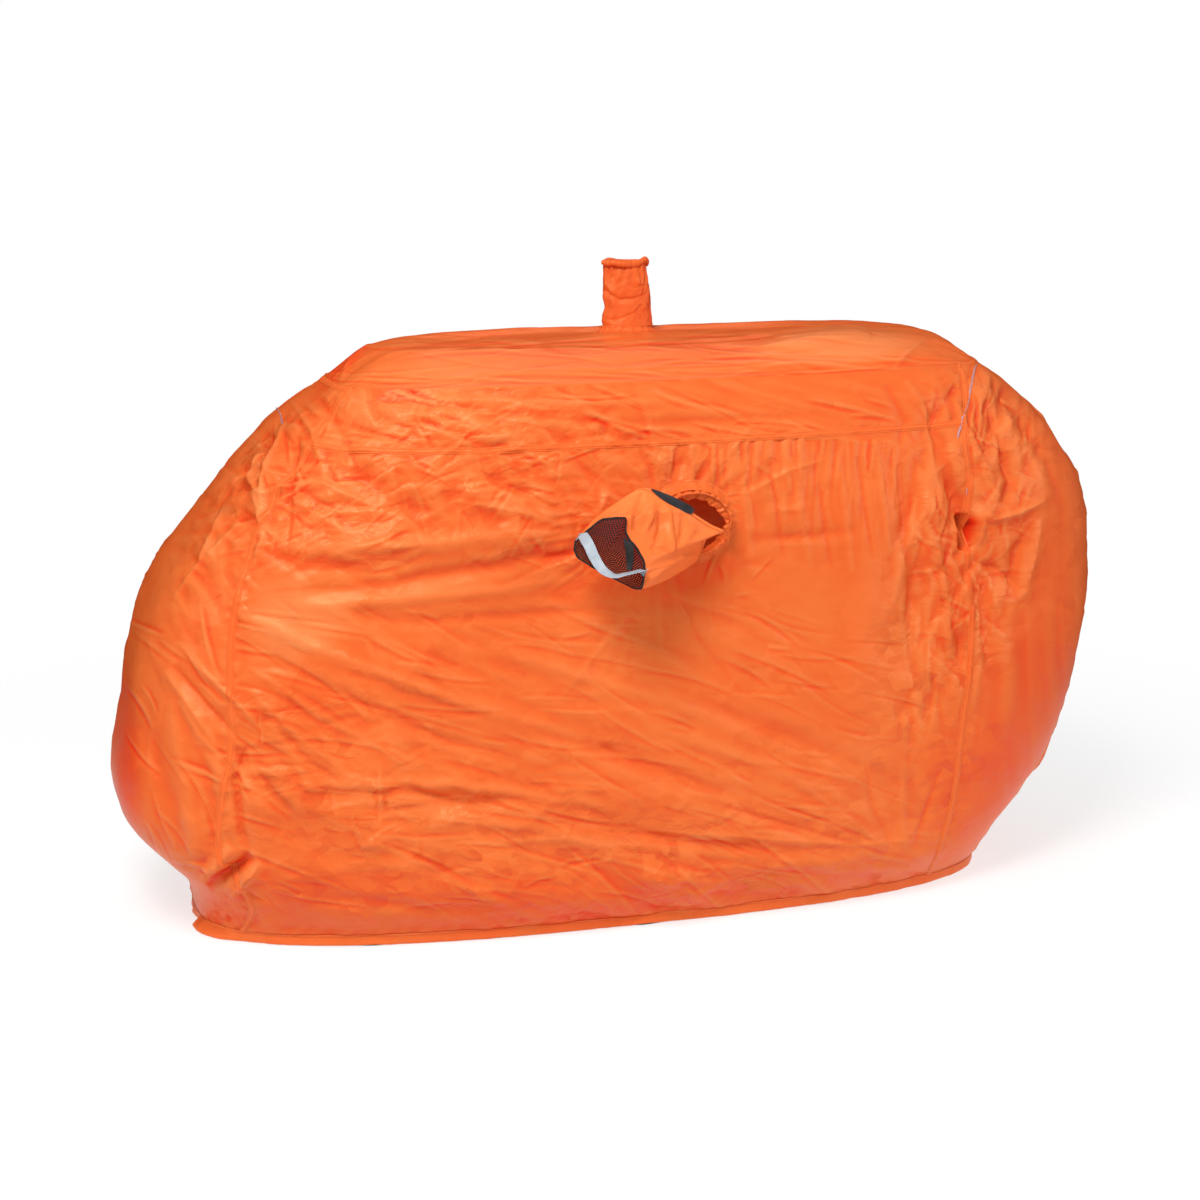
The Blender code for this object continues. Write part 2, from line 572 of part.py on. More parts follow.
def slab(name, centre, e1, e2, e3, sizes, mat, at):
    half = np.asarray(sizes, float) / 2
    e = [np.asarray(v, float) for v in (e1, e2, e3)]
    corners = [np.asarray(centre) + sx * half[0] * e[0] + sy * half[1] * e[1] + sz * half[2] * e[2]
               for sx in (-1, 1) for sy in (-1, 1) for sz in (-1, 1)]
    faces = [(0, 1, 3, 2), (4, 6, 7, 5), (0, 4, 5, 1), (2, 3, 7, 6), (0, 2, 6, 4), (1, 5, 7, 3)]
    return solid(name, corners, faces, mat, at=at)


# bare patch on the sack, where such a sack carries its label
spot, s1, s2, sa, sb = sack_section(0.13)
further = sack_section(0.25)
along = further[0] + further[2] * further[4] - spot - s2 * sb
label_n = unit(np.cross(s1, along))
label_n = label_n if label_n[1] < 0 else -label_n
label_c = spot + s2 * sb + label_n * 0.0011
slab("sack_label", label_c, s1, unit(np.cross(label_n, s1)), label_n, (0.0460, 0.0120, 0.0008), binding, sack_axis)

# webbing tab inside the base, behind the mesh
slab("sack_webbing_tab", base_c - bn * 0.0060 + b1 * 0.012, b2, b1, bn, (0.034, 0.010, 0.0010), binding, sack_axis)

# grab strap across the base, sewn at both ends to the binding
strap_axis = base_c + bn * STRAP_OFF
tilt = math.radians(15)
bow_dir = bn * math.cos(tilt) + (-b2 if b2[2] > 0 else b2) * math.sin(tilt)
wide_dir = np.cross(b1, bow_dir)
rings = []
for k in np.radians(np.linspace(9, 171, 15)):
    mid = strap_axis + b1 * STRAP_HALF * math.cos(k) + bow_dir * STRAP_BOW * math.sin(k)
    out = unit(b1 * math.cos(k) * STRAP_BOW + bow_dir * math.sin(k) * STRAP_HALF)
    rings.append([mid + s * wide_dir * STRAP_WIDE / 2 + h * out for s, h in ((-1, 0), (1, 0), (1, 0.001), (-1, 0.001))])
points, faces = swept(rings)
solid("sack_strap", points, faces, silver, at=strap_axis)
for side, s in (("left", -1), ("right", 1)):
    slab("sack_strap_tab_" + side, base_c + b1 * s * 0.0485 + bn * 0.0041, b1, b2, bn,
         (0.0040, 0.0070, 0.0042), silver, sack_axis)

# gusset that joins the sack's mouth to the right side of the gathered rim
slab("sack_gusset", (0.0935, -0.2845, 0.560), unit((-0.42, -0.91, 0)), Z, unit((-0.91, 0.42, 0)),
     (0.0210, 0.026, 0.0010), smooth_cloth, (0.0935, -0.2845, 0.560))
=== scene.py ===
import math
import time

import bmesh
import bpy
import numpy as np
from mathutils import Matrix, Vector


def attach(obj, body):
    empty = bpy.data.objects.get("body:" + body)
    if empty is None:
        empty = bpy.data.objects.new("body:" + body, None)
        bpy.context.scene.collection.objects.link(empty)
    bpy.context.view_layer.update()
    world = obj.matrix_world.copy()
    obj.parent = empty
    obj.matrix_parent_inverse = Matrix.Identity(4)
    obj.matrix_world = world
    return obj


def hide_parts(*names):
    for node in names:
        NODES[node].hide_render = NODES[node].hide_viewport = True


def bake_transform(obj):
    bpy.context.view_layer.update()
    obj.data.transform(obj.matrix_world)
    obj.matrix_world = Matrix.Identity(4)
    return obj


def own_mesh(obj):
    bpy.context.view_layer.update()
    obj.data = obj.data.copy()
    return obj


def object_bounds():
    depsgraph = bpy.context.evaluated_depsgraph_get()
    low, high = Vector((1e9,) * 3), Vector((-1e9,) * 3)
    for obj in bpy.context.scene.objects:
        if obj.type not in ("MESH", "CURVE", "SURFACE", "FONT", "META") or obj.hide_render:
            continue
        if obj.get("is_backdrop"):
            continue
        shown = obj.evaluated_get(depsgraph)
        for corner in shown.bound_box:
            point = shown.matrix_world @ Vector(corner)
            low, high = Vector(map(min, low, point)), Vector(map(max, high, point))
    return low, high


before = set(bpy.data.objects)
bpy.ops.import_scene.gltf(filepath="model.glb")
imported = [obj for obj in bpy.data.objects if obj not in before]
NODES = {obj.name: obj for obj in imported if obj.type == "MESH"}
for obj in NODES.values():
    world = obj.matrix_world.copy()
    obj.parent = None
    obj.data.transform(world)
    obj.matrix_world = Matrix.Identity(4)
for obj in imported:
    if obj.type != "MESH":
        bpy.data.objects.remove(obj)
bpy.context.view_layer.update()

CLOCK = time.perf_counter()
SCENE = bpy.context.scene
X, Y, Z = np.eye(3)

# ------------------------------------------------------------------ camera
CAMERA_AT = np.array([-0.94039, -3.09217, 1.10888])
CAMERA_TO = np.array([-0.0214, 0.0303, 0.4200])
LENS, SENSOR = 68.43, 36.0
camera_data = bpy.data.cameras.new("camera")
camera_data.lens, camera_data.sensor_width = LENS, SENSOR
camera = bpy.data.objects.new("camera", camera_data)
SCENE.collection.objects.link(camera)
camera.location = CAMERA_AT
camera.rotation_mode = "QUATERNION"
camera.rotation_quaternion = Vector(CAMERA_TO - CAMERA_AT).to_track_quat("-Z", "Y")
camera_data.clip_end = 60
SCENE.camera = camera

AHEAD = (CAMERA_TO - CAMERA_AT) / np.linalg.norm(CAMERA_TO - CAMERA_AT)
RIGHT = np.cross(AHEAD, Z) / np.linalg.norm(np.cross(AHEAD, Z))
UP = np.cross(RIGHT, AHEAD)
FOCAL = LENS / SENSOR * 1200


def seen_at(points):
    """Where points fall in the 1200 x 1200 frame."""
    d = points - CAMERA_AT
    far = d @ AHEAD
    return np.stack([600 + FOCAL * (d @ RIGHT) / far, 600 - FOCAL * (d @ UP) / far], -1)


# ------------------------------------------------------------------ small helpers
def unit(v):
    v = np.asarray(v, float)
    return v / np.maximum(np.linalg.norm(v, axis=-1, keepdims=True), 1e-12)


def eased(xs, ys, x):
    xs, ys = np.asarray(xs, float), np.asarray(ys, float)
    step = np.diff(xs)
    slope = np.diff(ys) / step
    m = np.empty_like(ys)
    m[1:-1] = (slope[:-1] * step[1:] + slope[1:] * step[:-1]) / (step[1:] + step[:-1])
    m[0], m[-1] = slope[0], slope[-1]
    i = np.clip(np.searchsorted(xs, x) - 1, 0, len(step) - 1)
    t = (x - xs[i]) / step[i]
    return ((2 * t**3 - 3 * t**2 + 1) * ys[i] + (t**3 - 2 * t**2 + t) * step[i] * m[i]
            + (3 * t**2 - 2 * t**3) * ys[i + 1] + (t**3 - t**2) * step[i] * m[i + 1])


def smooth01(t):
    t = np.clip(t, 0, 1)
    return t * t * (3 - 2 * t)


def mesh_object(name, points, faces, mat, uvs=None, smooth=True):
    """A mesh from numpy arrays; faces is an (n, 4) or (n, 3) array or a list of tuples."""
    mesh = bpy.data.meshes.new(name)
    points = np.asarray(points, np.float32).reshape(-1, 3)
    if isinstance(faces, np.ndarray):
        count, size = faces.shape
        mesh.vertices.add(len(points))
        mesh.vertices.foreach_set("co", points.ravel())
        mesh.loops.add(count * size)
        mesh.loops.foreach_set("vertex_index", faces.astype(np.int32).ravel())
        mesh.polygons.add(count)
        mesh.polygons.foreach_set("loop_start", np.arange(0, count * size, size, dtype=np.int32))
        mesh.update(calc_edges=True)
        mesh.validate()
    else:
        mesh.from_pydata([tuple(p) for p in points.tolist()], [], [tuple(int(i) for i in f) for f in faces])
        mesh.update()
    if uvs is not None:
        layer = mesh.uv_layers.new(name="cloth")
        index = np.empty(len(mesh.loops), np.int32)
        mesh.loops.foreach_get("vertex_index", index)
        layer.data.foreach_set("uv", np.asarray(uvs, np.float32)[index].ravel())
    if smooth:
        mesh.shade_smooth()
    mesh.materials.append(mat)
    made = bpy.data.objects.new(name, mesh)
    SCENE.collection.objects.link(made)
    return made


def grid_faces(columns, rows, loop=False, first=0, flip=False):
    """Quads over points laid out as point[column, row]."""
    c = np.arange(columns if loop else columns - 1)
    r = np.arange(rows - 1)
    a = (c[:, None] * rows + r[None, :]).ravel()
    b = (((c[:, None] + 1) % columns) * rows + r[None, :]).ravel()
    quads = np.stack([a, b, b + 1, a + 1], -1) + first
    return quads[:, ::-1] if flip else quads


# ------------------------------------------------------------------ shell surface, as in the CAD
ORIGIN = np.array([0.0114, -0.0303, 0.0])
RINGS = np.array((
    (0.00, 0.000, -0.610, 0.565, -0.215, 0.200, 2.7, 0.000, 0.000),
    (0.08, 0.060, -0.620, 0.585, -0.262, 0.245, 3.0, 0.000, 0.000),
    (0.20, 0.160, -0.705, 0.665, -0.278, 0.285, 3.0, 0.000, 0.000),
    (0.38, 0.310, -0.698, 0.718, -0.274, 0.315, 3.3, 0.000, 0.000),
    (0.55, 0.460, -0.658, 0.735, -0.260, 0.325, 3.5, 0.000, 0.000),
    (0.72, 0.600, -0.558, 0.705, -0.248, 0.285, 3.5, 0.000, 0.000),
    (0.86, 0.698, -0.476, 0.625, -0.231, 0.230, 3.4, 0.013, 0.070),
    (1.00, 0.757, -0.404, 0.540, -0.199, 0.178, 3.3, 0.012, -0.010),
    (1.08, 0.792, -0.354, 0.500, -0.157, 0.132, 3.1, 0.006, 0.030),
    (1.30, 0.800, -0.213, 0.307, -0.083, 0.074, 2.8, 0.006, 0.020),
    (1.60, 0.806, -0.020, 0.030, -0.010, 0.010, 2.0, 0.020, 0.020),
))
SEAM_UP = (0.00, 0.08, 0.19, 0.28, 0.44, 0.58, 0.70, 0.86, 1.00)
SEAM_LEFT = (206.0, 213.0, 219.0, 222.0, 222.0, 217.0, 209.0, 203.0, 199.0)
SEAM_RIGHT = (317.0, 311.0, 305.0, 301.0, 297.0, 294.5, 295.0, 303.0, 323.0)
FOOT, EAVES, RIDGE = 0.0175, 0.86, 1.00


def ring_of(up):
    return [eased(RINGS[:, 0], RINGS[:, k], up) for k in range(1, 9)]


def ring_points(up, degrees):
    z, xl, xr, yf, yb, n, tx, ty = ring_of(up)
    t = np.radians(degrees)
    c, s = np.cos(t), np.sin(t)
    x = (xl + xr) / 2 + (xr - xl) / 2 * np.sign(c) * np.abs(c) ** (2 / n)
    y = (yf + yb) / 2 + (yb - yf) / 2 * np.sign(s) * np.abs(s) ** (2 / n)
    return np.stack([x, y, z + tx * x + ty * y], -1) - ORIGIN


def ring_columns(up, front, side):
    """One level ring, its points spread evenly along the cloth between the corner seams."""
    top = min(up, SEAM_UP[-1])
    left, right = float(eased(SEAM_UP, SEAM_LEFT, top)), float(eased(SEAM_UP, SEAM_RIGHT, top))
    out = []
    for a, b, count in ((left, right, front), (right, 720 - right, side),
                        (720 - right, 720 - left, front), (360 - left, left, side)):
        dense = ring_points(up, np.linspace(a, b, 1201))
        run = np.concatenate([[0], np.cumsum(np.linalg.norm(np.diff(dense, axis=0), axis=1))])
        want = np.arange(count) / count * run[-1]
        out.append(np.stack([np.interp(want, run, dense[:, k]) for k in range(3)], -1))
    return np.concatenate(out)


# fine grid of the walls: columns go round from the front left seam, rows go up
FINE = 1
CF, CS = 328 // FINE, 168 // FINE          # columns of a long and of an end panel
ROWS = 320 // FINE + 1                     # rows from the hem to the ridge
COLS = 2 * (CF + CS)
FL, FR, BR, BL = 0, CF, CF + CS, 2 * CF + CS

trial = np.linspace(FOOT, RIDGE, 121)
probe = np.stack([ring_columns(u, 16, 8) for u in trial], 1)
climb = np.linalg.norm(np.diff(probe, axis=1), axis=2).mean(0)
climb = np.concatenate([[0], np.cumsum(climb)])
eaves_at = float(np.interp(EAVES, trial, climb))
lower_rows = int(round((ROWS - 1) * eaves_at / climb[-1]))
row_climb = np.concatenate([np.linspace(0, eaves_at, lower_rows + 1),
                            np.linspace(eaves_at, climb[-1], ROWS - lower_rows)[1:]])
ROW_UP = np.interp(row_climb, climb, trial)
ROW_UP[lower_rows] = EAVES
ER = lower_rows                            # row that carries the eaves seam
WALL = np.stack([ring_columns(u, CF, CS) for u in ROW_UP], 1)      # [column, row, xyz]
CELL = climb[-1] / (ROWS - 1)


def normals_of(grid, loop):
    if loop:
        across = np.roll(grid, -1, 0) - np.roll(grid, 1, 0)
    else:
        across = np.gradient(grid, axis=0)
    return unit(np.cross(across, np.gradient(grid, axis=1)))


WALL_N = normals_of(WALL, True)
WALL_PX = seen_at(WALL)
WALL_FACING = (WALL_N * unit(CAMERA_AT - WALL)).sum(-1)

# roof top: columns follow the long panels, rows go from the front ridge to the back one
ridge = WALL[:, -1]
front_edge = np.concatenate([ridge[FL:FR], ridge[FR:FR + 1]])
right_edge = np.concatenate([ridge[FR:BR], ridge[BR:BR + 1]])
back_edge = np.concatenate([ridge[BR:BL], ridge[BL:BL + 1]])[::-1]
left_edge = np.concatenate([ridge[BL:], ridge[:1]])[::-1]
s = np.linspace(0, 1, CF + 1)[:, None, None]
t = np.linspace(0, 1, CS + 1)[None, :, None]
TOP = ((1 - t) * front_edge[:, None] + t * back_edge[:, None]
       + (1 - s) * left_edge[None] + s * right_edge[None]
       - ((1 - s) * (1 - t) * front_edge[0] + s * (1 - t) * front_edge[-1]
          + (1 - s) * t * back_edge[0] + s * t * back_edge[-1]))
flat_x, flat_y = TOP[..., 0] + ORIGIN[0], TOP[..., 1] + ORIGIN[1]
low, high = np.full(flat_x.shape, 1.0), np.full(flat_x.shape, 1.6)
for _ in range(26):
    mid = (low + high) / 2
    z, xl, xr, yf, yb, n, tx, ty = ring_of(mid)
    inside = (np.abs((flat_x - (xl + xr) / 2) / ((xr - xl) / 2)) ** n
              + np.abs((flat_y - (yf + yb) / 2) / ((yb - yf) / 2)) ** n) < 1
    low, high = np.where(inside, mid, low), np.where(inside, high, mid)
z, xl, xr, yf, yb, n, tx, ty = ring_of(low)
TOP[..., 2] = z + tx * flat_x + ty * flat_y
for _ in range(6 // FINE):                      # the rings' knots show as faint steps otherwise
    inner = TOP[1:-1, 1:-1, 2]
    TOP[1:-1, 1:-1, 2] = inner * 0.5 + 0.125 * (TOP[2:, 1:-1, 2] + TOP[:-2, 1:-1, 2] + TOP[1:-1, 2:, 2] + TOP[1:-1, :-2, 2])
TOP_N = normals_of(TOP, False)
TOP_PX = seen_at(TOP)


# ------------------------------------------------------------------ folds laid one by one
def stroke_field(px, folds):
    """Height over points px of folds, each (points along it, half width, height in mm, shape).

    Shapes: r rounded, c creased, f steep on the left of its direction and long on the right,
    s step that is higher on the left."""
    total = np.zeros(px.shape[:-1])
    for line, width, height, shape in folds:
        line = np.asarray(line, float)
        best = np.full(px.shape[:-1], 1e9)
        side = np.zeros(px.shape[:-1])
        along = np.zeros(px.shape[:-1])
        runs = np.concatenate([[0], np.cumsum(np.linalg.norm(np.diff(line, axis=0), axis=1))])
        for k in range(len(line) - 1):
            a, d = line[k], line[k + 1] - line[k]
            long = d @ d
            u = np.clip(((px - a) @ d) / long, 0, 1)
            off = px - a - u[..., None] * d
            dist = np.linalg.norm(off, axis=-1)
            near = dist < best
            best = np.where(near, dist, best)
            turn = d[0] * off[..., 1] - d[1] * off[..., 0]
            side = np.where(near, np.sign(-turn), side)
            along = np.where(near, (runs[k] + u * math.sqrt(long)) / runs[-1], along)
        taper = np.sin(np.pi * np.clip(along, 0.0, 1.0)) ** 0.6
        q = best / width
        if shape == "r":
            h = np.exp(-q * q)
        elif shape == "c":
            h = np.exp(-1.4 * q)
        elif shape == "f":
            h = np.where(side > 0, np.exp(-2.4 * q), np.exp(-0.5 * q * q))
        else:
            h = side * q * np.exp(0.5 - 0.5 * q * q)
        total += height * 0.0016 * h * np.maximum(taper, 0.0)
    return total


def zone(px, centre, size, turn=0.0, edge=1.0):
    """1 inside a soft ellipse, 0 well outside."""
    c, s = math.cos(math.radians(turn)), math.sin(math.radians(turn))
    d = px - np.asarray(centre, float)
    a = (d[..., 0] * c + d[..., 1] * s) / size[0]
    b = (-d[..., 0] * s + d[..., 1] * c) / size[1]
    return 1 - smooth01((np.sqrt(a * a + b * b) - 1 + edge / 2) / edge)


def creases(px, where, box, count, turn, spread, long, seed, width=1.25):
    """Painted tone and height of short straight creases scattered in box, (x0, y0, x1, y1), turned about turn degrees.

    Each is a thin crest with a painted highlight and a thin valley under it with painted shade, fading out at both
    ends."""
    rng = np.random.default_rng(seed)
    tone, height = np.zeros(px.shape[:-1]), np.zeros(px.shape[:-1])
    for _ in range(count):
        x, y = rng.uniform(box[0], box[2]), rng.uniform(box[1], box[3])
        angle = math.radians(turn + rng.normal(0, spread))
        half = 0.5 * rng.uniform(long[0], long[1])
        side = rng.choice((-1.0, 1.0), p=(0.3, 0.7))
        power = rng.uniform(0.5, 1.0)
        bow = rng.uniform(-0.12, 0.12) * half
        thick = width * rng.uniform(0.8, 1.5)
        near = (np.abs(px[..., 0] - x) < half + 6) & (np.abs(px[..., 1] - y) < half + 6) & (where > 0.05)
        if not near.any():
            continue
        d = px[near] - (x, y)
        a = (d[:, 0] * math.cos(angle) + d[:, 1] * math.sin(angle)) / half
        b = -d[:, 0] * math.sin(angle) + d[:, 1] * math.cos(angle) - bow * (1 - a * a)
        fade = np.clip(1 - a * a, 0, 1) ** 0.7 * where[near] * power
        crest = np.exp(-(b / thick) ** 2)
        valley = np.exp(-((b - side * 2.1 * thick) / (1.3 * thick)) ** 2)
        tone[near] += fade * (1.3 * crest - 1.2 * valley)
        height[near] += fade * (crest - 0.8 * valley) * 0.0012
    return tone, height


FRONT_FOLDS = [
    # tension folds that run from the left corner seam down to the right
    ([(235, 612), (330, 655), (450, 700), (600, 745)], 7, 3.5, "r"),
    ([(240, 640), (330, 690), (430, 735), (560, 775)], 6, -3.0, "r"),
    ([(245, 665), (320, 715), (400, 760)], 5, 3.0, "c"),
    ([(300, 640), (430, 672), (600, 715), (780, 770), (860, 800)], 8, 2.2, "r"),
    ([(330, 665), (480, 712), (640, 765), (800, 815)], 7, -2.2, "r"),
    ([(420, 640), (560, 668), (700, 715), (850, 775)], 7, 1.8, "r"),
    ([(470, 675), (620, 720), (760, 775), (880, 830)], 6, -1.6, "r"),
    ([(250, 690), (300, 740), (345, 770)], 5, 2.6, "c"),
    ([(262, 712), (310, 762), (352, 790)], 5, -2.6, "c"),
    # under the ledge of the crumpled zone
    ([(300, 592), (380, 586), (470, 570), (560, 556)], 9, -4.5, "r"),
    ([(290, 606), (380, 603), (500, 590), (590, 575)], 6, 2.0, "r"),
    ([(310, 620), (420, 622), (560, 612), (680, 606)], 6, -1.8, "r"),
    ([(250, 545), (330, 552), (430, 545), (560, 528)], 9, 4.0, "r"),
    # between the label's place and the hem
    ([(290, 792), (400, 788), (500, 796), (620, 815)], 6, 3.2, "s"),
    ([(330, 812), (450, 806), (560, 822), (700, 845), (850, 850)], 7, -3.0, "r"),
    ([(460, 845), (560, 838), (680, 850), (800, 862)], 6, 2.2, "r"),
    ([(300, 905), (360, 900), (430, 912), (520, 908)], 6, -2.4, "r"),
    ([(280, 880), (350, 868), (440, 862)], 6, 2.0, "r"),
    ([(620, 880), (720, 868), (830, 862), (900, 850)], 6, 1.8, "r"),
    ([(640, 830), (740, 836), (850, 845), (930, 838)], 5, 2.4, "c"),
    ([(700, 800), (790, 826), (870, 848)], 5, -2.4, "c"),
    ([(780, 770), (840, 812), (885, 850)], 5, 2.2, "c"),
    ([(866, 760), (874, 810), (896, 850)], 5, -2.6, "c"),
    ([(905, 760), (902, 812), (905, 850)], 5, 2.2, "c"),
    ([(940, 770), (925, 815), (912, 852)], 5, -2.2, "c"),
    # drawn towards the vent
    ([(470, 468), (540, 500), (580, 520)], 6, -3.2, "c"),
    ([(450, 500), (520, 512), (575, 530)], 5, 2.4, "c"),
    ([(500, 556), (560, 556), (590, 560)], 5, -2.2, "r"),
    ([(745, 540), (810, 536), (860, 530)], 6, -1.6, "r"),
    ([(735, 500), (790, 470), (830, 458)], 5, 1.6, "c"),
    ([(640, 600), (600, 650), (560, 700)], 5, 1.4, "c"),
    ([(680, 600), (700, 640), (740, 690)], 5, -1.4, "c"),
    ([(560, 480), (540, 458), (520, 440)], 5, 1.8, "c"),
    # hanging folds below the raised seam at the right
    ([(690, 462), (694, 500), (700, 545)], 4, 2.0, "c"),
    ([(716, 462), (722, 505), (726, 552)], 4, -2.0, "c"),
    ([(742, 460), (746, 505), (752, 560)], 4, 2.2, "c"),
    ([(768, 458), (776, 500), (784, 560)], 4, -2.2, "c"),
    ([(792, 456), (800, 505), (812, 570)], 4, 2.2, "c"),
    ([(815, 455), (822, 505), (832, 570)], 4, -2.4, "c"),
    ([(838, 455), (846, 510), (852, 575)], 4, 2.4, "c"),
    ([(858, 456), (864, 505), (872, 560)], 4, -2.4, "c"),
    ([(878, 456), (884, 505), (890, 560)], 4, 2.4, "c"),
    ([(900, 462), (905, 520), (912, 600), (915, 680)], 6, -3.4, "r"),
    ([(870, 480), (872, 560), (868, 650), (862, 720)], 20, 3.6, "r"),
]
CORNER_FOLDS = [
    # the crumpled band at the right corner
    ([(925, 400), (940, 440), (952, 480), (958, 530)], 8, -6.0, "r"),
    ([(952, 395), (966, 430), (985, 470), (1000, 500)], 7, 5.0, "c"),
    ([(985, 400), (1000, 440), (1010, 480)], 7, -5.0, "c"),
    ([(940, 470), (960, 500), (968, 530), (962, 562)], 9, -7.0, "r"),
    ([(966, 514), (971, 532), (968, 552)], 6, -17.0, "r"),
    ([(976, 512), (981, 530), (978, 552)], 4, 5.0, "c"),
    ([(958, 512), (959, 534), (958, 554)], 4, 5.0, "c"),
    ([(598, 516), (607, 494), (622, 502)], 6, 4.0, "c"),
    ([(978, 505), (992, 520), (1020, 512), (1046, 500)], 6, 6.0, "c"),
    ([(975, 560), (1000, 570), (1025, 590)], 6, -6.0, "c"),
    ([(952, 560), (965, 590), (975, 630)], 6, 5.0, "c"),
    ([(1005, 450), (1012, 480), (1002, 505)], 6, -6.0, "r"),
    ([(1020, 540), (1014, 570), (1010, 600)], 6, -5.0, "r"),
    ([(1040, 520), (1032, 560), (1020, 600)], 6, 4.0, "c"),
    ([(925, 520), (940, 560), (948, 610), (950, 660)], 7, 5.0, "c"),
    ([(940, 600), (960, 640), (962, 690)], 7, -4.0, "c"),
    ([(975, 620), (980, 660), (972, 710)], 6, 3.0, "c"),
    ([(930, 640), (935, 690), (925, 740)], 6, -3.0, "c"),
    ([(1000, 620), (1010, 670), (1005, 740)], 9, 2.0, "r"),
    ([(960, 372), (990, 400), (1030, 450), (1050, 500)], 8, 2.4, "r"),
    ([(985, 372), (1015, 410), (1050, 470), (1066, 520)], 7, -1.8, "r"),
    # left corner and left end
    ([(285, 420), (268, 470), (258, 520)], 6, 5.0, "c"),
    ([(300, 430), (290, 480), (285, 530)], 6, -4.5, "c"),
    ([(262, 455), (250, 480), (262, 498)], 5, 5.0, "c"),
    ([(255, 490), (262, 540), (252, 570)], 5, 4.0, "c"),
    ([(225, 500), (200, 560), (172, 600)], 5, 3.0, "c"),
    ([(250, 470), (215, 510), (195, 520)], 5, -3.0, "c"),
    ([(238, 520), (215, 545), (205, 560)], 5, 3.2, "c"),
    ([(176, 640), (205, 672), (240, 705), (270, 740)], 6, 4.0, "c"),
    ([(165, 670), (190, 705), (220, 750)], 6, 4.5, "c"),
    ([(172, 665), (205, 705), (245, 745)], 5, -4.5, "c"),
    ([(180, 700), (200, 735), (222, 760)], 5, 3.4, "c"),
    ([(145, 720), (165, 790), (185, 850)], 9, -2.2, "r"),
    ([(170, 700), (185, 780), (195, 850), (205, 890)], 8, 2.6, "r"),
    ([(200, 745), (212, 800), (215, 850)], 6, -3.0, "r"),
    # the deep fold over the left end of the hem
    ([(248, 740), (236, 780), (240, 830), (250, 855)], 6, -6.0, "c"),
    ([(252, 856), (238, 868), (220, 878), (208, 884)], 6, -11.0, "r"),
    ([(262, 862), (246, 880), (232, 898)], 6, 6.0, "c"),
    ([(232, 845), (222, 860), (206, 872)], 6, 6.0, "r"),
]
ROOF_FOLDS = [
    ([(470, 372), (600, 370), (760, 366), (900, 372)], 2.5, 1.5, "r"),
    ([(400, 352), (560, 348), (720, 350)], 2.0, 1.0, "r"),
    ([(640, 345), (760, 338), (860, 330)], 2.5, 2.0, "r"),
    ([(890, 372), (912, 352), (928, 338)], 4, 3.0, "c"),
    ([(700, 345), (800, 358), (880, 366)], 3, -2.2, "r"),
    ([(760, 352), (830, 342), (870, 334)], 9, 5.0, "r"),
    ([(338, 384), (350, 362), (372, 342)], 3, 2.4, "c"),
]
DROP_FOLDS = [
    # on the strip between the ridge and the raised seam
    ([(350, 402), (440, 420), (520, 440)], 5, 2.4, "c"),
    ([(380, 396), (500, 412), (600, 424)], 4, -1.8, "c"),
    ([(330, 418), (380, 436), (420, 446)], 5, -3.0, "c"),
    ([(440, 398), (560, 404), (680, 402)], 4, 1.4, "r"),
    ([(600, 424), (720, 420), (820, 416)], 5, -1.2, "r"),
    ([(905, 380), (925, 410), (930, 440)], 6, 3.0, "c"),
    ([(885, 385), (905, 420), (900, 445)], 6, -2.4, "c"),
    ([(290, 400), (312, 430), (322, 470), (330, 500)], 5, 3.0, "c"),
    ([(318, 398), (345, 440), (360, 480)], 6, -3.0, "c"),
]

front_side = (WALL_FACING > -0.15)
wall_height = np.where(front_side, stroke_field(WALL_PX, FRONT_FOLDS + CORNER_FOLDS + DROP_FOLDS), 0.0)
top_height = stroke_field(TOP_PX, ROOF_FOLDS)

# the back is out of the photograph: long slack folds like the front's, placed in turn round it
generator = np.random.default_rng(11)
column_m = np.linalg.norm(np.roll(WALL, -1, 0) - WALL, axis=2).mean(1)
along_m = np.concatenate([[0], np.cumsum(column_m)])[:-1]
back_plane = np.stack([np.broadcast_to(along_m[:, None], WALL.shape[:2]), np.broadcast_to(row_climb[None], WALL.shape[:2])], -1) * 760
back_folds = []
start, stop = along_m[BR] * 760, along_m[BL] * 760
for k in range(26):
    u0 = generator.uniform(start - 40, stop + 40)
    v0 = generator.uniform(20, 560)
    length = generator.uniform(120, 420)
    lean = generator.normal(0, 0.35) - 0.25
    bow = generator.uniform(-25, 25)
    line = [(u0 - length / 2, v0 - lean * length / 2), (u0, v0 + bow), (u0 + length / 2, v0 + lean * length / 2)]
    back_folds.append((line, generator.uniform(5, 11), generator.choice([-1, 1]) * generator.uniform(1.4, 3.6), "r" if k % 3 else "c"))
wall_height += np.where(front_side, 0.0, stroke_field(back_plane, back_folds))


# ------------------------------------------------------------------ crumpled cloth
def resampled(field, columns, rows, loop):
    """A [column, row, ...] field at another size, linearly."""
    c0, r0 = field.shape[:2]
    cx = np.arange(columns) * (c0 / columns) if loop else np.linspace(0, c0 - 1, columns)
    ry = np.linspace(0, r0 - 1, rows)
    i, j = np.floor(cx).astype(int), np.minimum(np.floor(ry).astype(int), r0 - 2)
    u, v = cx - i, ry - j
    i1 = (i + 1) % c0 if loop else np.minimum(i + 1, c0 - 1)
    shape = (columns, rows) + (1,) * (field.ndim - 2)
    u = u[:, None] * np.ones((1, rows))
    v = np.ones((columns, 1)) * v[None]
    u, v = u.reshape(shape), v.reshape(shape)
    return ((1 - u) * (1 - v) * field[i][:, j] + u * (1 - v) * field[i1][:, j]
            + (1 - u) * v * field[i][:, j + 1] + u * v * field[i1][:, j + 1])


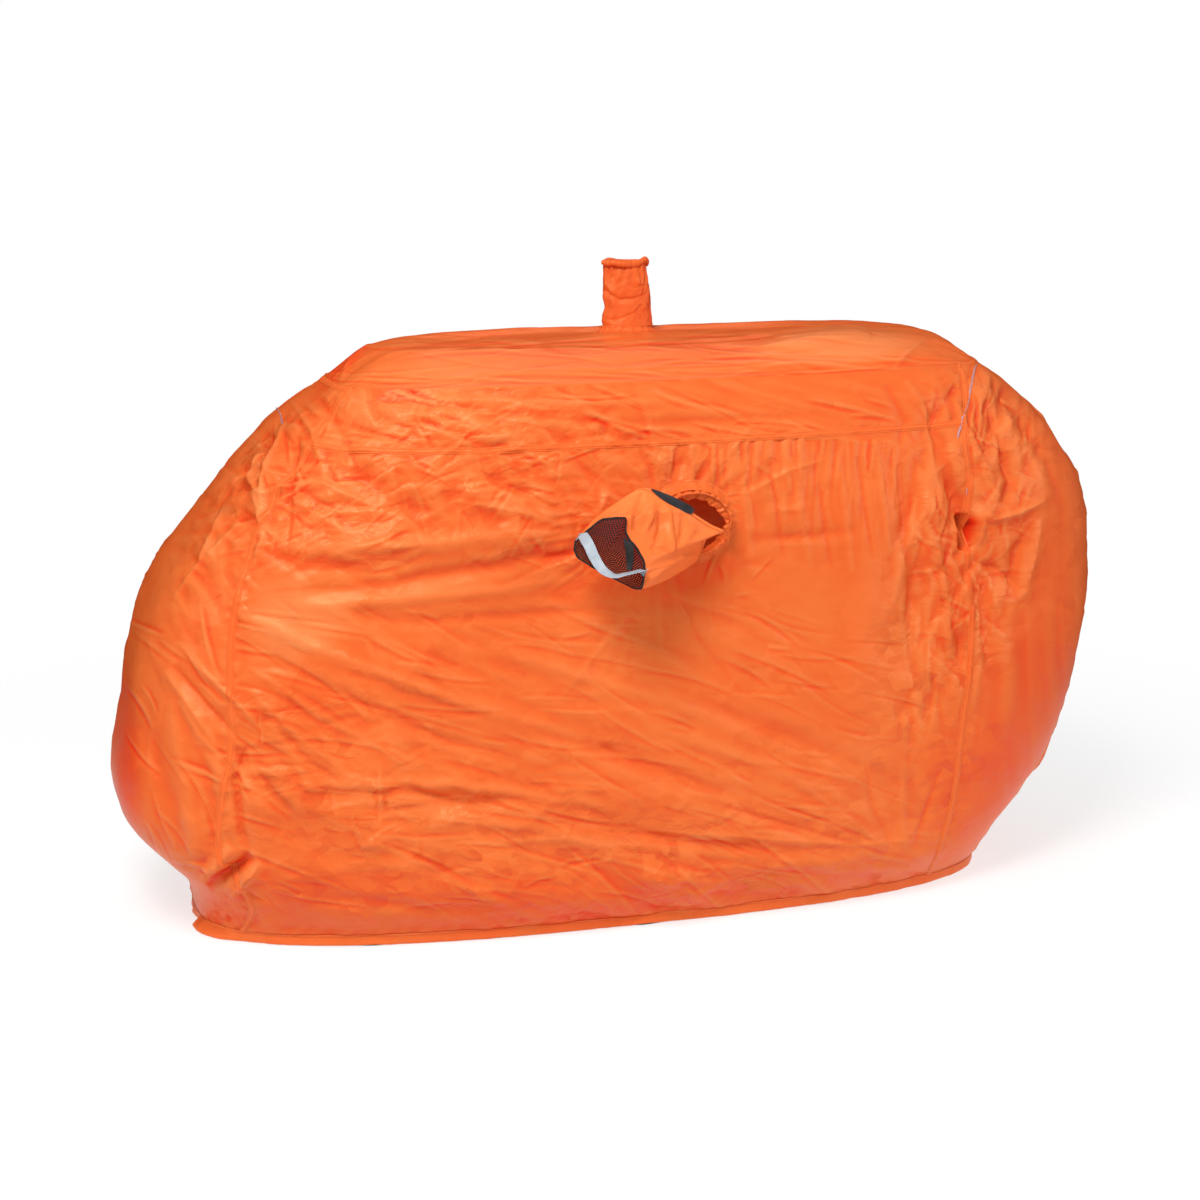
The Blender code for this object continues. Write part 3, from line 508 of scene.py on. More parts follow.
def facets(px, spacing, seed, turn=0.0, stretch=1.0, jitter=0.40, wander=0.35):
    """Heights from -1 to 1 that are flat between scattered points, as crumpled cloth folds between its peaks.

    stretch makes the facets that much longer along the direction turn, in degrees."""
    rng = np.random.default_rng(seed)
    c, s_ = math.cos(math.radians(turn)), math.sin(math.radians(turn))
    a = (px[..., 0] * c + px[..., 1] * s_) / (spacing * stretch)
    b = (-px[..., 0] * s_ + px[..., 1] * c) / (spacing * 0.87)
    phase = rng.uniform(0, 6.28, 6)
    bend_a = np.sin(b * 0.61 + phase[0]) + 0.6 * np.sin(a * 0.43 - b * 0.37 + phase[1])
    bend_b = np.sin(a * 0.53 + phase[2]) + 0.6 * np.sin(a * 0.31 + b * 0.47 + phase[3])
    a, b = a + wander * bend_a, b + wander * bend_b
    a, b = a - b * 0.5, b
    size = 96
    dx, dy = rng.uniform(-jitter, jitter, (2, size, size))
    heights = rng.uniform(-1, 1, (size, size))
    i0, j0 = np.floor(a).astype(np.int32), np.floor(b).astype(np.int32)
    out = np.zeros(px.shape[:-1], np.float32)
    best = np.full(px.shape[:-1], -1e9, np.float32)
    corners = (((0, 0), (1, 0), (1, 1)), ((0, 0), (1, 1), (0, 1)))
    for di in (-1, 0, 1):
        for dj in (-1, 0, 1):
            for shape in corners:
                at = []
                for ci, cj in shape:
                    i, j = (i0 + di + ci), (j0 + dj + cj)
                    ii, jj = i % size, j % size
                    at.append((i + dx[ii, jj], j + dy[ii, jj], heights[ii, jj]))
                (x0, y0, h0), (x1, y1, h1), (x2, y2, h2) = at
                area = (x1 - x0) * (y2 - y0) - (x2 - x0) * (y1 - y0)
                w1 = ((a - x0) * (y2 - y0) - (x2 - x0) * (b - y0)) / area
                w2 = ((x1 - x0) * (b - y0) - (a - x0) * (y1 - y0)) / area
                least = np.minimum(np.minimum(w1, w2), 1 - w1 - w2)
                better = least > best
                out = np.where(better, h0 + w1 * (h1 - h0) + w2 * (h2 - h0), out)
                best = np.where(better, least, best)
    return out


def noise(shape, cell, seed, loop):
    """Smooth noise with features about cell points wide."""
    rng = np.random.default_rng(seed)
    coarse = rng.normal(0, 1, (max(4, shape[0] // cell), max(4, shape[1] // cell)))
    return resampled(coarse, shape[0], shape[1], loop)


def crumple(total, px, where, layers, seed):
    """Adds layers of facets, each (spacing, height in mm, turn, stretch), to total where the mask is up."""
    on = where > 0.003
    spots = px[on]
    for k, (spacing, height, turn, stretch) in enumerate(layers):
        total[on] += where[on] * height * 0.0014 * facets(spots, spacing, seed + k, turn, stretch)


seen = smooth01((WALL_FACING + 0.05) / 0.25)
uneven = 0.75 + 0.30 * noise(WALL.shape[:2], 28 // FINE, 31, True)
uneven = np.clip(uneven, 0.25, 1.5)
patchy = np.clip(0.5 + 0.6 * noise(WALL.shape[:2], 16 // FINE, 32, True), 0.0, 1.4)
fine_scale = 1.0
rug = np.zeros(WALL.shape[:2])
PX = WALL_PX
upper_left = seen * uneven * zone(PX, (405, 485), (205, 92), -3, 0.9)
crumple(rug, PX, upper_left, ((44, 4.6, -25, 1.4), (23, 3.6, 20, 1.5), (12, 2.0, -40, 1.3)), 100)
crumple(rug, PX, seen * patchy * zone(PX, (345, 450), (110, 62), 0, 0.9), ((25, 4.0, 60, 1.6), (12, 1.6, 10, 1.2)), 110)
crumple(rug, PX, seen * uneven * zone(PX, (562, 470), (90, 70), 0, 0.9), ((15, 1.5, 0, 1.3), (8, 0.8, 30, 1.2)), 115)
corner = seen * zone(PX, (965, 520), (68, 165), 6, 0.8)
crumple(rug, PX, corner * uneven, ((36, 4.6, 70, 1.7), (20, 3.4, 100, 1.6), (10, 1.6, 60, 1.4)), 120)
crumple(rug, PX, seen * patchy * zone(PX, (930, 660), (52, 110), 0, 0.9), ((16, 2.4, 80, 1.6), (9, 1.2, 40, 1.3)), 130)
hang = seen * smooth01((PX[..., 0] - 640) / 60) * smooth01((912 - PX[..., 0]) / 26)
depth = np.interp(PX[..., 0], (640, 700, 800, 900), (20, 55, 105, 120))
below = PX[..., 1] - np.interp(PX[..., 0], (600, 700, 800, 900), (452, 447, 442, 444))
hang = hang * np.clip(1 - below / depth, 0, 1) * (below > -3)
crumple(rug, PX, hang, ((9, 1.7, 88, 7.0), (6.0, 0.8, 92, 6.0)), 140)
polar = PX - np.array((660.0, 530.0))
reach = np.hypot(polar[..., 0] / 1.15, polar[..., 1])
polar = np.stack([np.degrees(np.arctan2(polar[..., 1], polar[..., 0])) * 2.0, np.log(np.maximum(reach, 8)) * 55], -1)
round_vent = seen * patchy * (1 - smooth01((reach - 70) / 110)) * smooth01((reach - 30) / 25)
crumple(rug, polar, round_vent, ((22, 2.6, 90, 2.6), (12, 1.3, 90, 2.0)), 150)
whole = seen * (1 - upper_left * 0.6) * (1 - corner)
front_only = whole * smooth01((PX[..., 0] - 250) / 40) * smooth01((930 - PX[..., 0]) / 40) * smooth01((PX[..., 1] - 570) / 50)
calm = 1 - 0.75 * zone(PX, (860, 640), (50, 110), 0, 0.8) - 0.7 * zone(PX, (290, 620), (50, 45), 0, 0.8)
crumple(rug, PX, front_only * uneven * calm, ((46, 3.4, 17, 3.4), (24, 1.8, 14, 2.8)), 160)
crumple(rug, PX, front_only * patchy * calm, ((15, 0.9, -10, 2.0), (8, 0.4, 30, 1.6)), 165)
crumple(rug, PX, whole * patchy * zone(PX, (330, 770), (115, 75), 25, 0.9), ((22, 3.8, 48, 2.2), (12, 1.7, -20, 1.4)), 170)
crumple(rug, PX, whole * patchy * zone(PX, (560, 860), (350, 80), 0, 0.9), ((30, 4.2, 8, 2.0), (15, 2.0, -25, 1.5)), 175)
left_end_seen = seen * smooth01((262 - PX[..., 0]) / 30)
crumple(rug, PX, left_end_seen * uneven, ((34, 1.4, 75, 3.0), (14, 0.5, 80, 2.0)), 180)
crumple(rug, PX, left_end_seen * patchy * zone(PX, (215, 710), (65, 120), 0, 0.9), ((24, 3.0, 52, 3.4), (12, 1.5, 55, 2.0)), 185)
crumple(rug, PX, seen * patchy * zone(PX, (228, 540), (50, 90), 25, 0.9), ((22, 3.2, 60, 2.0), (11, 1.2, 20, 1.4)), 190)
crumple(rug, PX, seen * patchy * zone(PX, (225, 880), (55, 60), 0, 0.9), ((20, 3.5, 40, 1.6), (10, 1.5, 0, 1.3)), 195)
right_end_seen = seen * smooth01((PX[..., 0] - 985) / 40)
crumple(rug, PX, right_end_seen * uneven, ((13, 0.55, 84, 6.0), (30, 1.6, 80, 3.0)), 200)
drop = seen * smooth01((448 - PX[..., 1]) / 12) * smooth01((PX[..., 0] - 300) / 40) * smooth01((925 - PX[..., 0]) / 25)
crumple(rug, PX, drop * uneven, ((18, 0.9, 8, 4.0), (9, 0.45, 5, 3.0)), 210)
crumple(rug, PX, drop * patchy * (1 - smooth01((PX[..., 0] - 560) / 140)), ((24, 1.7, 18, 3.4), (12, 0.9, 14, 2.4)), 215)

# painted shade and highlight of the creases on the walls, added to the folds' painted tone
crease_painted_shading = np.zeros(WALL.shape[:2])
for part, box, count, turn, spread, long in (
        (upper_left, (240, 400, 610, 570), 95, -25, 50, (14, 60)),
        (seen * zone(PX, (345, 450), (110, 62), 0, 0.9), (255, 400, 440, 510), 30, 50, 30, (14, 44)),
        (corner, (900, 380, 1040, 680), 80, 75, 40, (12, 55)),
        (seen * smooth01((PX[..., 1] - 590) / 40) * smooth01((PX[..., 0] - 225) / 20) * smooth01((940 - PX[..., 0]) / 30), (240, 600, 930, 900), 150, 16, 10, (24, 130)),
        (0.7 * seen * zone(PX, (560, 880), (350, 60), 0, 0.9), (250, 820, 900, 935), 40, 5, 24, (16, 60)),
        (seen * zone(PX, (330, 770), (115, 75), 25, 0.9), (230, 700, 440, 850), 26, 40, 25, (16, 60)),
        (seen * smooth01((262 - PX[..., 0]) / 20), (110, 600, 250, 860), 22, 55, 14, (30, 90)),
        (drop, (330, 392, 900, 446), 36, 12, 8, (30, 110)),
        (hang, (650, 446, 905, 560), 46, 88, 5, (16, 70)),
        (seen * zone(PX, (640, 520), (150, 110), 0, 0.9), (520, 430, 790, 640), 26, 20, 45, (14, 44))):
    tone, height = creases(PX, part, box, count, turn, spread, long, 700 + count)
    crease_painted_shading += tone
    rug += height

crinkled = 0.22 + 0.10 * uneven
for part, high in ((upper_left, 1.10), (corner, 0.80), (round_vent, 0.90), (hang, 0.45), (front_only * calm, 0.50),
                   (whole * zone(PX, (560, 860), (360, 90), 0, 0.9), 0.95), (whole * zone(PX, (330, 770), (120, 80), 25, 0.9), 0.95),
                   (seen * zone(PX, (232, 560), (50, 120), 20, 0.9), 0.55), (seen * zone(PX, (225, 880), (60, 60), 0, 0.9), 0.9),
                   (seen * zone(PX, (930, 700), (80, 160), 0, 0.9), 0.8), (drop * (1 - smooth01((PX[..., 0] - 560) / 140)), 0.7)):
    crinkled = np.maximum(crinkled, np.clip(part, 0, 1.2) * high)



def blurred(field, reach, loop):
    """The field averaged over about reach points each way, three times over."""
    for _ in range(3):
        for axis in (0, 1):
            if axis == 0 and loop:
                wide = np.concatenate([field[-reach:], field, field[:reach]])
            else:
                pad = [(reach, reach) if k == axis else (0, 0) for k in range(2)]
                wide = np.pad(field, pad, mode="edge")
            total = np.cumsum(wide, axis=axis)
            total = np.concatenate([np.zeros_like(np.take(total, [0], axis)), total], axis)
            n = field.shape[axis]
            field = (np.take(total, np.arange(2 * reach + 1, 2 * reach + 1 + n), axis) - np.take(total, np.arange(n), axis)) / (2 * reach + 1)
    return field


def painted_fold_shading(height, loop):
    """Painted shade and highlight: -1 in a valley to 1 on a crest, over narrow and wide folds together, and paler on
    slopes that face up and, on the front, to the left towards the key lamp, redder on slopes that face away.
    """
    near = (height - blurred(height, max(1, 2 // FINE), loop)) / 0.0006
    wide = (height - blurred(height, 6 // FINE, loop)) / 0.0030
    rise = np.gradient(height, axis=1) / CELL
    run = (np.roll(height, -1, 0) - np.roll(height, 1, 0)) / (2 * CELL)
    if not loop:
        run[0], run[-1] = run[1], run[-2]
    return 0.75 * np.tanh(0.7 * near + 0.3 * wide) + 0.75 * np.tanh(1.6 * (0.45 * run - rise))


# the back is out of the photograph, and wears as the front does
back = 1 - seen
u_place = np.broadcast_to(along_m[:, None], WALL.shape[:2])
v_place = np.broadcast_to(row_climb[None], WALL.shape[:2])
plane_px = np.stack([u_place, v_place], -1) * 760
crumple(rug, plane_px, back * uneven, ((42, 3.0, 15, 2.6), (22, 1.5, -10, 2.0)), 220)
crumple(rug, plane_px, back * patchy, ((12, 0.7, 30, 1.4),), 225)
blobs = np.zeros(WALL.shape[:2])
for k in range(7):
    cu = generator.uniform(along_m[BR] - 0.15, along_m[BL] + 0.1)
    cv = generator.uniform(0.10, 0.74)
    ru, rv = generator.uniform(0.12, 0.24), generator.uniform(0.07, 0.14)
    blobs = np.maximum(blobs, 1 - smooth01((np.hypot((u_place - cu) / ru, (v_place - cv) / rv) - 0.4) / 0.9))
crumple(rug, plane_px, back * blobs * uneven, ((34, 4.2, -25, 1.4), (17, 2.4, 20, 1.4), (9, 1.1, 0, 1.3)), 230)
crinkled = np.maximum(crinkled, back * (0.55 + 0.45 * blobs))


# puckers along the sewn seams: the cloth is a little longer than its seam
def seam_gap(column):
    gap = (along_m - along_m[column] + along_m[-1] / 2) % along_m[-1] - along_m[-1] / 2
    return np.broadcast_to(gap[:, None], WALL.shape[:2])


def puckers(gap, run, reach, height, pitch, seed):
    """Short ripples across a seam; gap is the distance from it and run the length along it, in metres."""
    rng = np.random.default_rng(seed)
    on = np.abs(gap) < reach * 2.2
    side = np.sign(gap[on])
    ripple = facets(np.stack([run[on] * 1000 + side * 37, np.abs(gap[on]) * 1000 * 0.25 + side * 200], -1), pitch, seed, 0, 1.0, 0.3, 0.1)
    fade = np.exp(-(np.abs(gap[on]) / reach) ** 1.5) * smooth01(np.abs(gap[on]) / 0.004)
    out = np.zeros(gap.shape)
    out[on] = ripple * fade * height * 0.001
    return out


for k, column in enumerate((FL, FR, BR, BL)):
    rug += puckers(seam_gap(column), v_place, 0.013, 1.7 if k == 0 else 0.7, 7.5, 300 + k)
eaves_gap = np.broadcast_to((row_climb - row_climb[ER])[None], WALL.shape[:2])
long_sides = np.zeros((COLS, 1))
long_sides[FL:FR], long_sides[BR:BL] = 1, 1
rug += puckers(eaves_gap, u_place, 0.009, 0.9, 8.0, 310) * long_sides
foot_gap = np.broadcast_to(row_climb[None], WALL.shape[:2]) + 0.002
rug += puckers(foot_gap, u_place, 0.020, 2.2, 13.0, 320)

rug = rug * np.where(seen > 0.02, 0.45 + 0.55 * smooth01(WALL_FACING / 0.45), 1.0)
fade_ridge = smooth01((row_climb[-1] - row_climb) / 0.025)[None]
fade_foot = smooth01((row_climb - row_climb[0]) / 0.02)[None] * 0.75 + 0.25
ridge_line = 0.0042 * np.exp(-(row_climb[-1] - row_climb) / 0.006)[None] * long_sides
wall = WALL + WALL_N * (((wall_height + rug) * fade_ridge * fade_foot) + ridge_line)[..., None]

# painted shade and highlight of the folds, kept per point as the folded value, stronger in the crumpled upper left
folded = (painted_fold_shading(wall_height + rug, True) + crease_painted_shading) * (1 + 0.25 * upper_left + 0.1 * corner - 0.3 * np.clip(front_only, 0, 1))
# painted highlights: paler patches where light falls on the bulge at the left, on facets by the left corner and on the
# column at the right
for middle, size, turn, more in (((300, 618), (48, 34), -8, 1.7), ((286, 640), (30, 26), 0, 0.6), ((262, 500), (7, 14), 15, 1.5), ((259, 473), (6, 9), 0, 1.6),
                                 ((222, 511), (14, 5), 0, 1.4), ((214, 546), (9, 9), 40, 1.5), ((240, 440), (18, 26), 35, 0.5),
                                 ((900, 600), (30, 60), 0, 0.35), ((870, 640), (50, 70), 0, 0.25)):
    folded = folded + seen * more * zone(PX, middle, size, turn, 0.9)
# painted shade: redder patches where shade falls, in the deep pocket at the right corner, in the fold over the left end
# of the hem, under the vent and the sack, along the back left edge, along the low front, at the lower right, on the
# right end and at the roof's left corner
for middle, size, turn, more in (((969, 533), (9, 17), 8, 4.2), ((984, 521), (16, 4), -14, 1.0), ((232, 871), (26, 4), -28, 1.6), ((556, 552), (18, 14), 0, 0.6),
                                 ((700, 575), (44, 16), -24, 1.0), ((600, 588), (60, 14), -8, 0.6), ((122, 752), (17, 82), -3, 1.5),
                                 ((500, 915), (430, 46), -2, 0.8), ((975, 800), (50, 70), 0, 0.8), ((1040, 700), (46, 110), 8, 0.7), ((345, 363), (38, 7), -45, 1.5)):
    folded = folded - seen * more * zone(PX, middle, size, turn, 1.1)

# roof top
edge_gap = np.minimum(np.minimum(s, 1 - s) * CF, np.minimum(t, 1 - t) * CS)[..., 0] * CELL
top_rug = np.zeros(TOP.shape[:2])
top_uneven = np.clip(0.75 + 0.3 * noise(TOP.shape[:2], 26 // FINE, 41, False), 0.2, 1.5)
roof_plane = np.stack([TOP[..., 0], TOP[..., 1]], -1) * 760
crumple(top_rug, roof_plane, top_uneven, ((36, 1.5, 3, 4.5), (18, 0.8, -4, 4.0), (9, 0.35, 5, 2.6)), 400)
# painted shade and highlight of the roof's creases, with their small height
top_crease_painted_shading, top_lines = creases(TOP_PX, np.ones(TOP.shape[:2]), (340, 338, 960, 388), 70, 1, 3.5, (50, 240), 431, 0.9)
top_rug += 0.5 * top_lines
vent_px = roof_plane - np.array((0.0386, 0.0903)) * 760
vent_reach = np.hypot(vent_px[..., 0], vent_px[..., 1] * 1.2)
vent_polar = np.stack([np.degrees(np.arctan2(vent_px[..., 1], vent_px[..., 0])) * 1.6, np.log(np.maximum(vent_reach, 8)) * 40], -1)
crumple(top_rug, vent_polar, (1 - smooth01((vent_reach - 30) / 70)) * smooth01((vent_reach - 26) / 20), ((20, 1.8, 90, 3.0),), 410)
right_bulge = zone(TOP_PX, (835, 350), (85, 26), 0, 1.0)
top_height = top_height + right_bulge * 0.006
left_crumple = zone(TOP_PX, (350, 365), (50, 30), 0, 1.0)
crumple(top_rug, TOP_PX, left_crumple, ((16, 1.6, -50, 2.0),), 420)
front_gap = np.minimum(t, 1 - t)[..., 0] * CS * CELL
top = TOP + TOP_N * ((top_height + top_rug) * smooth01(edge_gap / 0.022))[..., None]
lift = 0.0042 * np.exp(-front_gap / 0.006) * np.ones(TOP.shape[:2])
blend_n = TOP_N.copy()
top = top + blend_n * lift[..., None] * smooth01(np.minimum(s, 1 - s)[..., 0] * CF * CELL / 0.02)[..., None]
columns_front = [i % COLS for i in range(FL, FR + 1)]
columns_back = [i % COLS for i in range(BR, BL + 1)][::-1]
columns_right = [i % COLS for i in range(FR, BR + 1)]
columns_left = [i % COLS for i in range(BL, COLS + 1)][::-1]
for index, side in ((columns_front, (slice(None), 0)), (columns_back, (slice(None), -1)),
                    (columns_right, (-1, slice(None))), (columns_left, (0, slice(None)))):
    both = (wall[index, -1] + top[side]) / 2
    wall[index, -1] = both
    top[side] = both
print("cloth", round(time.perf_counter() - CLOCK, 1))


# ------------------------------------------------------------------ materials
def new_material(name):
    mat = bpy.data.materials.new(name)
    mat.use_nodes = True
    tree = mat.node_tree
    for node in list(tree.nodes):
        tree.nodes.remove(node)
    out = tree.nodes.new("ShaderNodeOutputMaterial")
    return mat, tree, out


def put(tree, kind, **values):
    node = tree.nodes.new(kind)
    for key, value in values.items():
        if key in node.bl_rna.properties:
            setattr(node, key, value)
        else:
            node.inputs[key].default_value = value
    return node


def with_painted_shading(tree, colour, painted):
    """The colour with painted shade and highlight: redder in the valleys of the folds, much darker in the deepest pits,
    and paler on their crests.
    """
    out = colour
    for name, low, high, tone, most in (("valley", 0.0, -2.5, (0.83, 0.034, 0.006), 0.95), ("crest", 0.0, 2.5, (0.86, 0.290, 0.095), 0.60),
                                        ("pit", -2.8, -4.4, (0.40, 0.016, 0.005), 0.90)):
        share = put(tree, "ShaderNodeMapRange")
        share.inputs["From Min"].default_value, share.inputs["From Max"].default_value = low, high
        share.inputs["To Min"].default_value, share.inputs["To Max"].default_value = 0.0, most
        tree.links.new(painted, share.inputs["Value"])
        mixed = put(tree, "ShaderNodeMix", data_type="RGBA", blend_type="MIX")
        tree.links.new(share.outputs["Result"], mixed.inputs["Factor"])
        tree.links.new(out, mixed.inputs[6])
        mixed.inputs[7].default_value = (*tone, 1)
        out = mixed.outputs[2]
    return out


def ripstop(name, base, deep, light, through=0.35, rough=0.42, weave=1.0, crinkle=1.0, sheen=0.0, crinkle_base=0.0, spec=0.34):
    """Thin coated ripstop nylon: woven ground with a heavier thread every few millimetres, light comes through it."""
    mat, tree, out = new_material(name)
    link = tree.links.new
    coord = put(tree, "ShaderNodeTexCoord")
    cloudy = put(tree, "ShaderNodeTexNoise", Scale=5.0, Detail=3.0, Roughness=0.55)
    link(coord.outputs["Object"], cloudy.inputs["Vector"])
    ramp = put(tree, "ShaderNodeValToRGB")
    ramp.color_ramp.elements[0].position, ramp.color_ramp.elements[1].position = 0.32, 0.70
    ramp.color_ramp.elements[0].color = (*deep, 1)
    ramp.color_ramp.elements[1].color = (*light, 1)
    middle = ramp.color_ramp.elements.new(0.5)
    middle.color = (*base, 1)
    link(cloudy.outputs["Fac"], ramp.inputs["Fac"])
    # weave: fine threads and the heavier ripstop grid, on the cloth's own coordinates in metres
    uv = put(tree, "ShaderNodeUVMap", uv_map="cloth")
    heights = []
    for turn in (0, 1):
        split = put(tree, "ShaderNodeSeparateXYZ")
        link(uv.outputs["UV"], split.inputs["Vector"])
        axis = split.outputs["X" if turn == 0 else "Y"]
        for pitch, power, share in ((0.0052, 26.0, 1.0), (0.0009, 1.0, 0.25)):
            scale = put(tree, "ShaderNodeMath", operation="MULTIPLY")
            link(axis, scale.inputs[0])
            scale.inputs[1].default_value = 2 * math.pi / pitch
            wave = put(tree, "ShaderNodeMath", operation="COSINE")
            link(scale.outputs[0], wave.inputs[0])
            half = put(tree, "ShaderNodeMath", operation="MULTIPLY_ADD")
            half.inputs[1].default_value, half.inputs[2].default_value = 0.5, 0.5
            link(wave.outputs[0], half.inputs[0])
            sharp = put(tree, "ShaderNodeMath", operation="POWER")
            link(half.outputs[0], sharp.inputs[0])
            sharp.inputs[1].default_value = power
            amount = put(tree, "ShaderNodeMath", operation="MULTIPLY")
            link(sharp.outputs[0], amount.inputs[0])
            amount.inputs[1].default_value = share
            heights.append(amount.outputs[0])
    total = heights[0]
    for extra in heights[1:]:
        add = put(tree, "ShaderNodeMath", operation="ADD")
        link(total, add.inputs[0])
        link(extra, add.inputs[1])
        total = add.outputs[0]
    fine = put(tree, "ShaderNodeBump", Strength=0.35 * weave, Distance=0.0001)
    link(total, fine.inputs["Height"])
    # small crinkles: facets that tilt this way and that, and thin creases where they meet
    painted = put(tree, "ShaderNodeAttribute", attribute_name="crumpled")
    amount = put(tree, "ShaderNodeMath", operation="ADD")
    link(painted.outputs["Fac"], amount.inputs[0])
    amount.inputs[1].default_value = 0.0
    if crinkle_base:
        amount.inputs[1].default_value = crinkle_base
    bent = put(tree, "ShaderNodeTexNoise", noise_dimensions="2D", Scale=22.0, Detail=2.0)
    link(uv.outputs["UV"], bent.inputs["Vector"])
    centred = put(tree, "ShaderNodeVectorMath", operation="SUBTRACT")
    link(bent.outputs["Color"], centred.inputs[0])
    centred.inputs[1].default_value = (0.5, 0.5, 0.5)
    shifted = put(tree, "ShaderNodeVectorMath", operation="MULTIPLY_ADD")
    link(centred.outputs[0], shifted.inputs[0])
    shifted.inputs[1].default_value = (0.030, 0.030, 0.0)
    link(uv.outputs["UV"], shifted.inputs[2])
    # flat facets: every cell leans its own way, with a painted highlight when it leans up towards the lamps and painted
    # shade, redder, when it leans away
    leaning, facet_painted_shading = fine.outputs["Normal"], None
    for scale_value, lean, turn, long in ((24.0, 0.24, 0.5, 1.9), (47.0, 0.32, -0.5, 1.7), (88.0, 0.32, 1.1, 1.6)):
        place = put(tree, "ShaderNodeMapping")
        place.inputs["Rotation"].default_value = (0, 0, turn)
        place.inputs["Scale"].default_value = (1 / long, 1, 1)
        link(shifted.outputs[0], place.inputs["Vector"])
        cells = put(tree, "ShaderNodeTexVoronoi", voronoi_dimensions="2D", feature="F1", distance="EUCLIDEAN", Scale=scale_value)
        link(place.outputs["Vector"], cells.inputs["Vector"])
        tilt = put(tree, "ShaderNodeVectorMath", operation="SUBTRACT")
        link(cells.outputs["Color"], tilt.inputs[0])
        tilt.inputs[1].default_value = (0.5, 0.5, 0.5)
        where = put(tree, "ShaderNodeTexNoise", noise_dimensions="2D", Scale=scale_value * 0.22, Detail=1.0)
        link(place.outputs["Vector"], where.inputs["Vector"])
        mask = put(tree, "ShaderNodeMapRange")
        mask.inputs["From Min"].default_value, mask.inputs["From Max"].default_value = 0.38, 0.60
        mask.inputs["To Min"].default_value, mask.inputs["To Max"].default_value = 0.12, 1.0
        link(where.outputs["Fac"], mask.inputs["Value"])
        much = put(tree, "ShaderNodeMath", operation="MULTIPLY")
        link(mask.outputs["Result"], much.inputs[0])
        link(amount.outputs[0], much.inputs[1])
        more = put(tree, "ShaderNodeMath", operation="MULTIPLY")
        link(much.outputs[0], more.inputs[0])
        more.inputs[1].default_value = lean * crinkle
        upward = put(tree, "ShaderNodeVectorMath", operation="DOT_PRODUCT")
        link(tilt.outputs[0], upward.inputs[0])
        upward.inputs[1].default_value = (-0.3, -0.3, 0.9)
        shade_of = put(tree, "ShaderNodeMath", operation="MULTIPLY")
        link(upward.outputs["Value"], shade_of.inputs[0])
        link(much.outputs[0], shade_of.inputs[1])
        if facet_painted_shading is None:
            facet_painted_shading = shade_of.outputs[0]
        else:
            both_of = put(tree, "ShaderNodeMath", operation="ADD")
            link(facet_painted_shading, both_of.inputs[0])
            link(shade_of.outputs[0], both_of.inputs[1])
            facet_painted_shading = both_of.outputs[0]
        scaled = put(tree, "ShaderNodeVectorMath", operation="SCALE")
        link(tilt.outputs[0], scaled.inputs[0])
        link(more.outputs[0], scaled.inputs["Scale"])
        added = put(tree, "ShaderNodeVectorMath", operation="ADD")
        link(leaning, added.inputs[0])
        link(scaled.outputs[0], added.inputs[1])
        leaning = added.outputs[0]
    level = put(tree, "ShaderNodeVectorMath", operation="NORMALIZE")
    link(leaning, level.inputs[0])
    before = level
    for scale_value, high_by, turn, long in ((34.0, -0.0034, -0.6, 1.6), (84.0, 0.0019, 0.9, 1.4), (165.0, -0.0007, 0.2, 1.3)):
        place = put(tree, "ShaderNodeMapping")
        place.inputs["Rotation"].default_value = (0, 0, turn)
        place.inputs["Scale"].default_value = (1 / long, 1, 1)
        place.inputs["Location"].default_value = (turn, long, 0)
        link(shifted.outputs[0], place.inputs["Vector"])
        wavy = put(tree, "ShaderNodeTexNoise", noise_dimensions="2D", Scale=scale_value, Detail=0.0)
        link(place.outputs["Vector"], wavy.inputs["Vector"])
        about = put(tree, "ShaderNodeMath", operation="SUBTRACT")
        link(wavy.outputs["Fac"], about.inputs[0])
        about.inputs[1].default_value = 0.5
        sharp = put(tree, "ShaderNodeMath", operation="ABSOLUTE")
        link(about.outputs[0], sharp.inputs[0])
        where = put(tree, "ShaderNodeTexNoise", noise_dimensions="2D", Scale=scale_value * 0.24, Detail=1.0)
        link(place.outputs["Vector"], where.inputs["Vector"])
        mask = put(tree, "ShaderNodeMapRange")
        mask.inputs["From Min"].default_value, mask.inputs["From Max"].default_value = 0.36, 0.62
        mask.inputs["To Min"].default_value, mask.inputs["To Max"].default_value = 0.15, 1.0
        link(where.outputs["Fac"], mask.inputs["Value"])
        high = put(tree, "ShaderNodeMath", operation="MULTIPLY")
        link(sharp.outputs[0], high.inputs[0])
        link(mask.outputs["Result"], high.inputs[1])
        strong = put(tree, "ShaderNodeMath", operation="MULTIPLY")
        link(high.outputs[0], strong.inputs[0])
        link(amount.outputs[0], strong.inputs[1])
        bump = put(tree, "ShaderNodeBump", Strength=1.0, Distance=abs(high_by) * crinkle, invert=high_by < 0)
        link(strong.outputs[0], bump.inputs["Height"])
        link(before.outputs[0], bump.inputs["Normal"])
        before = bump
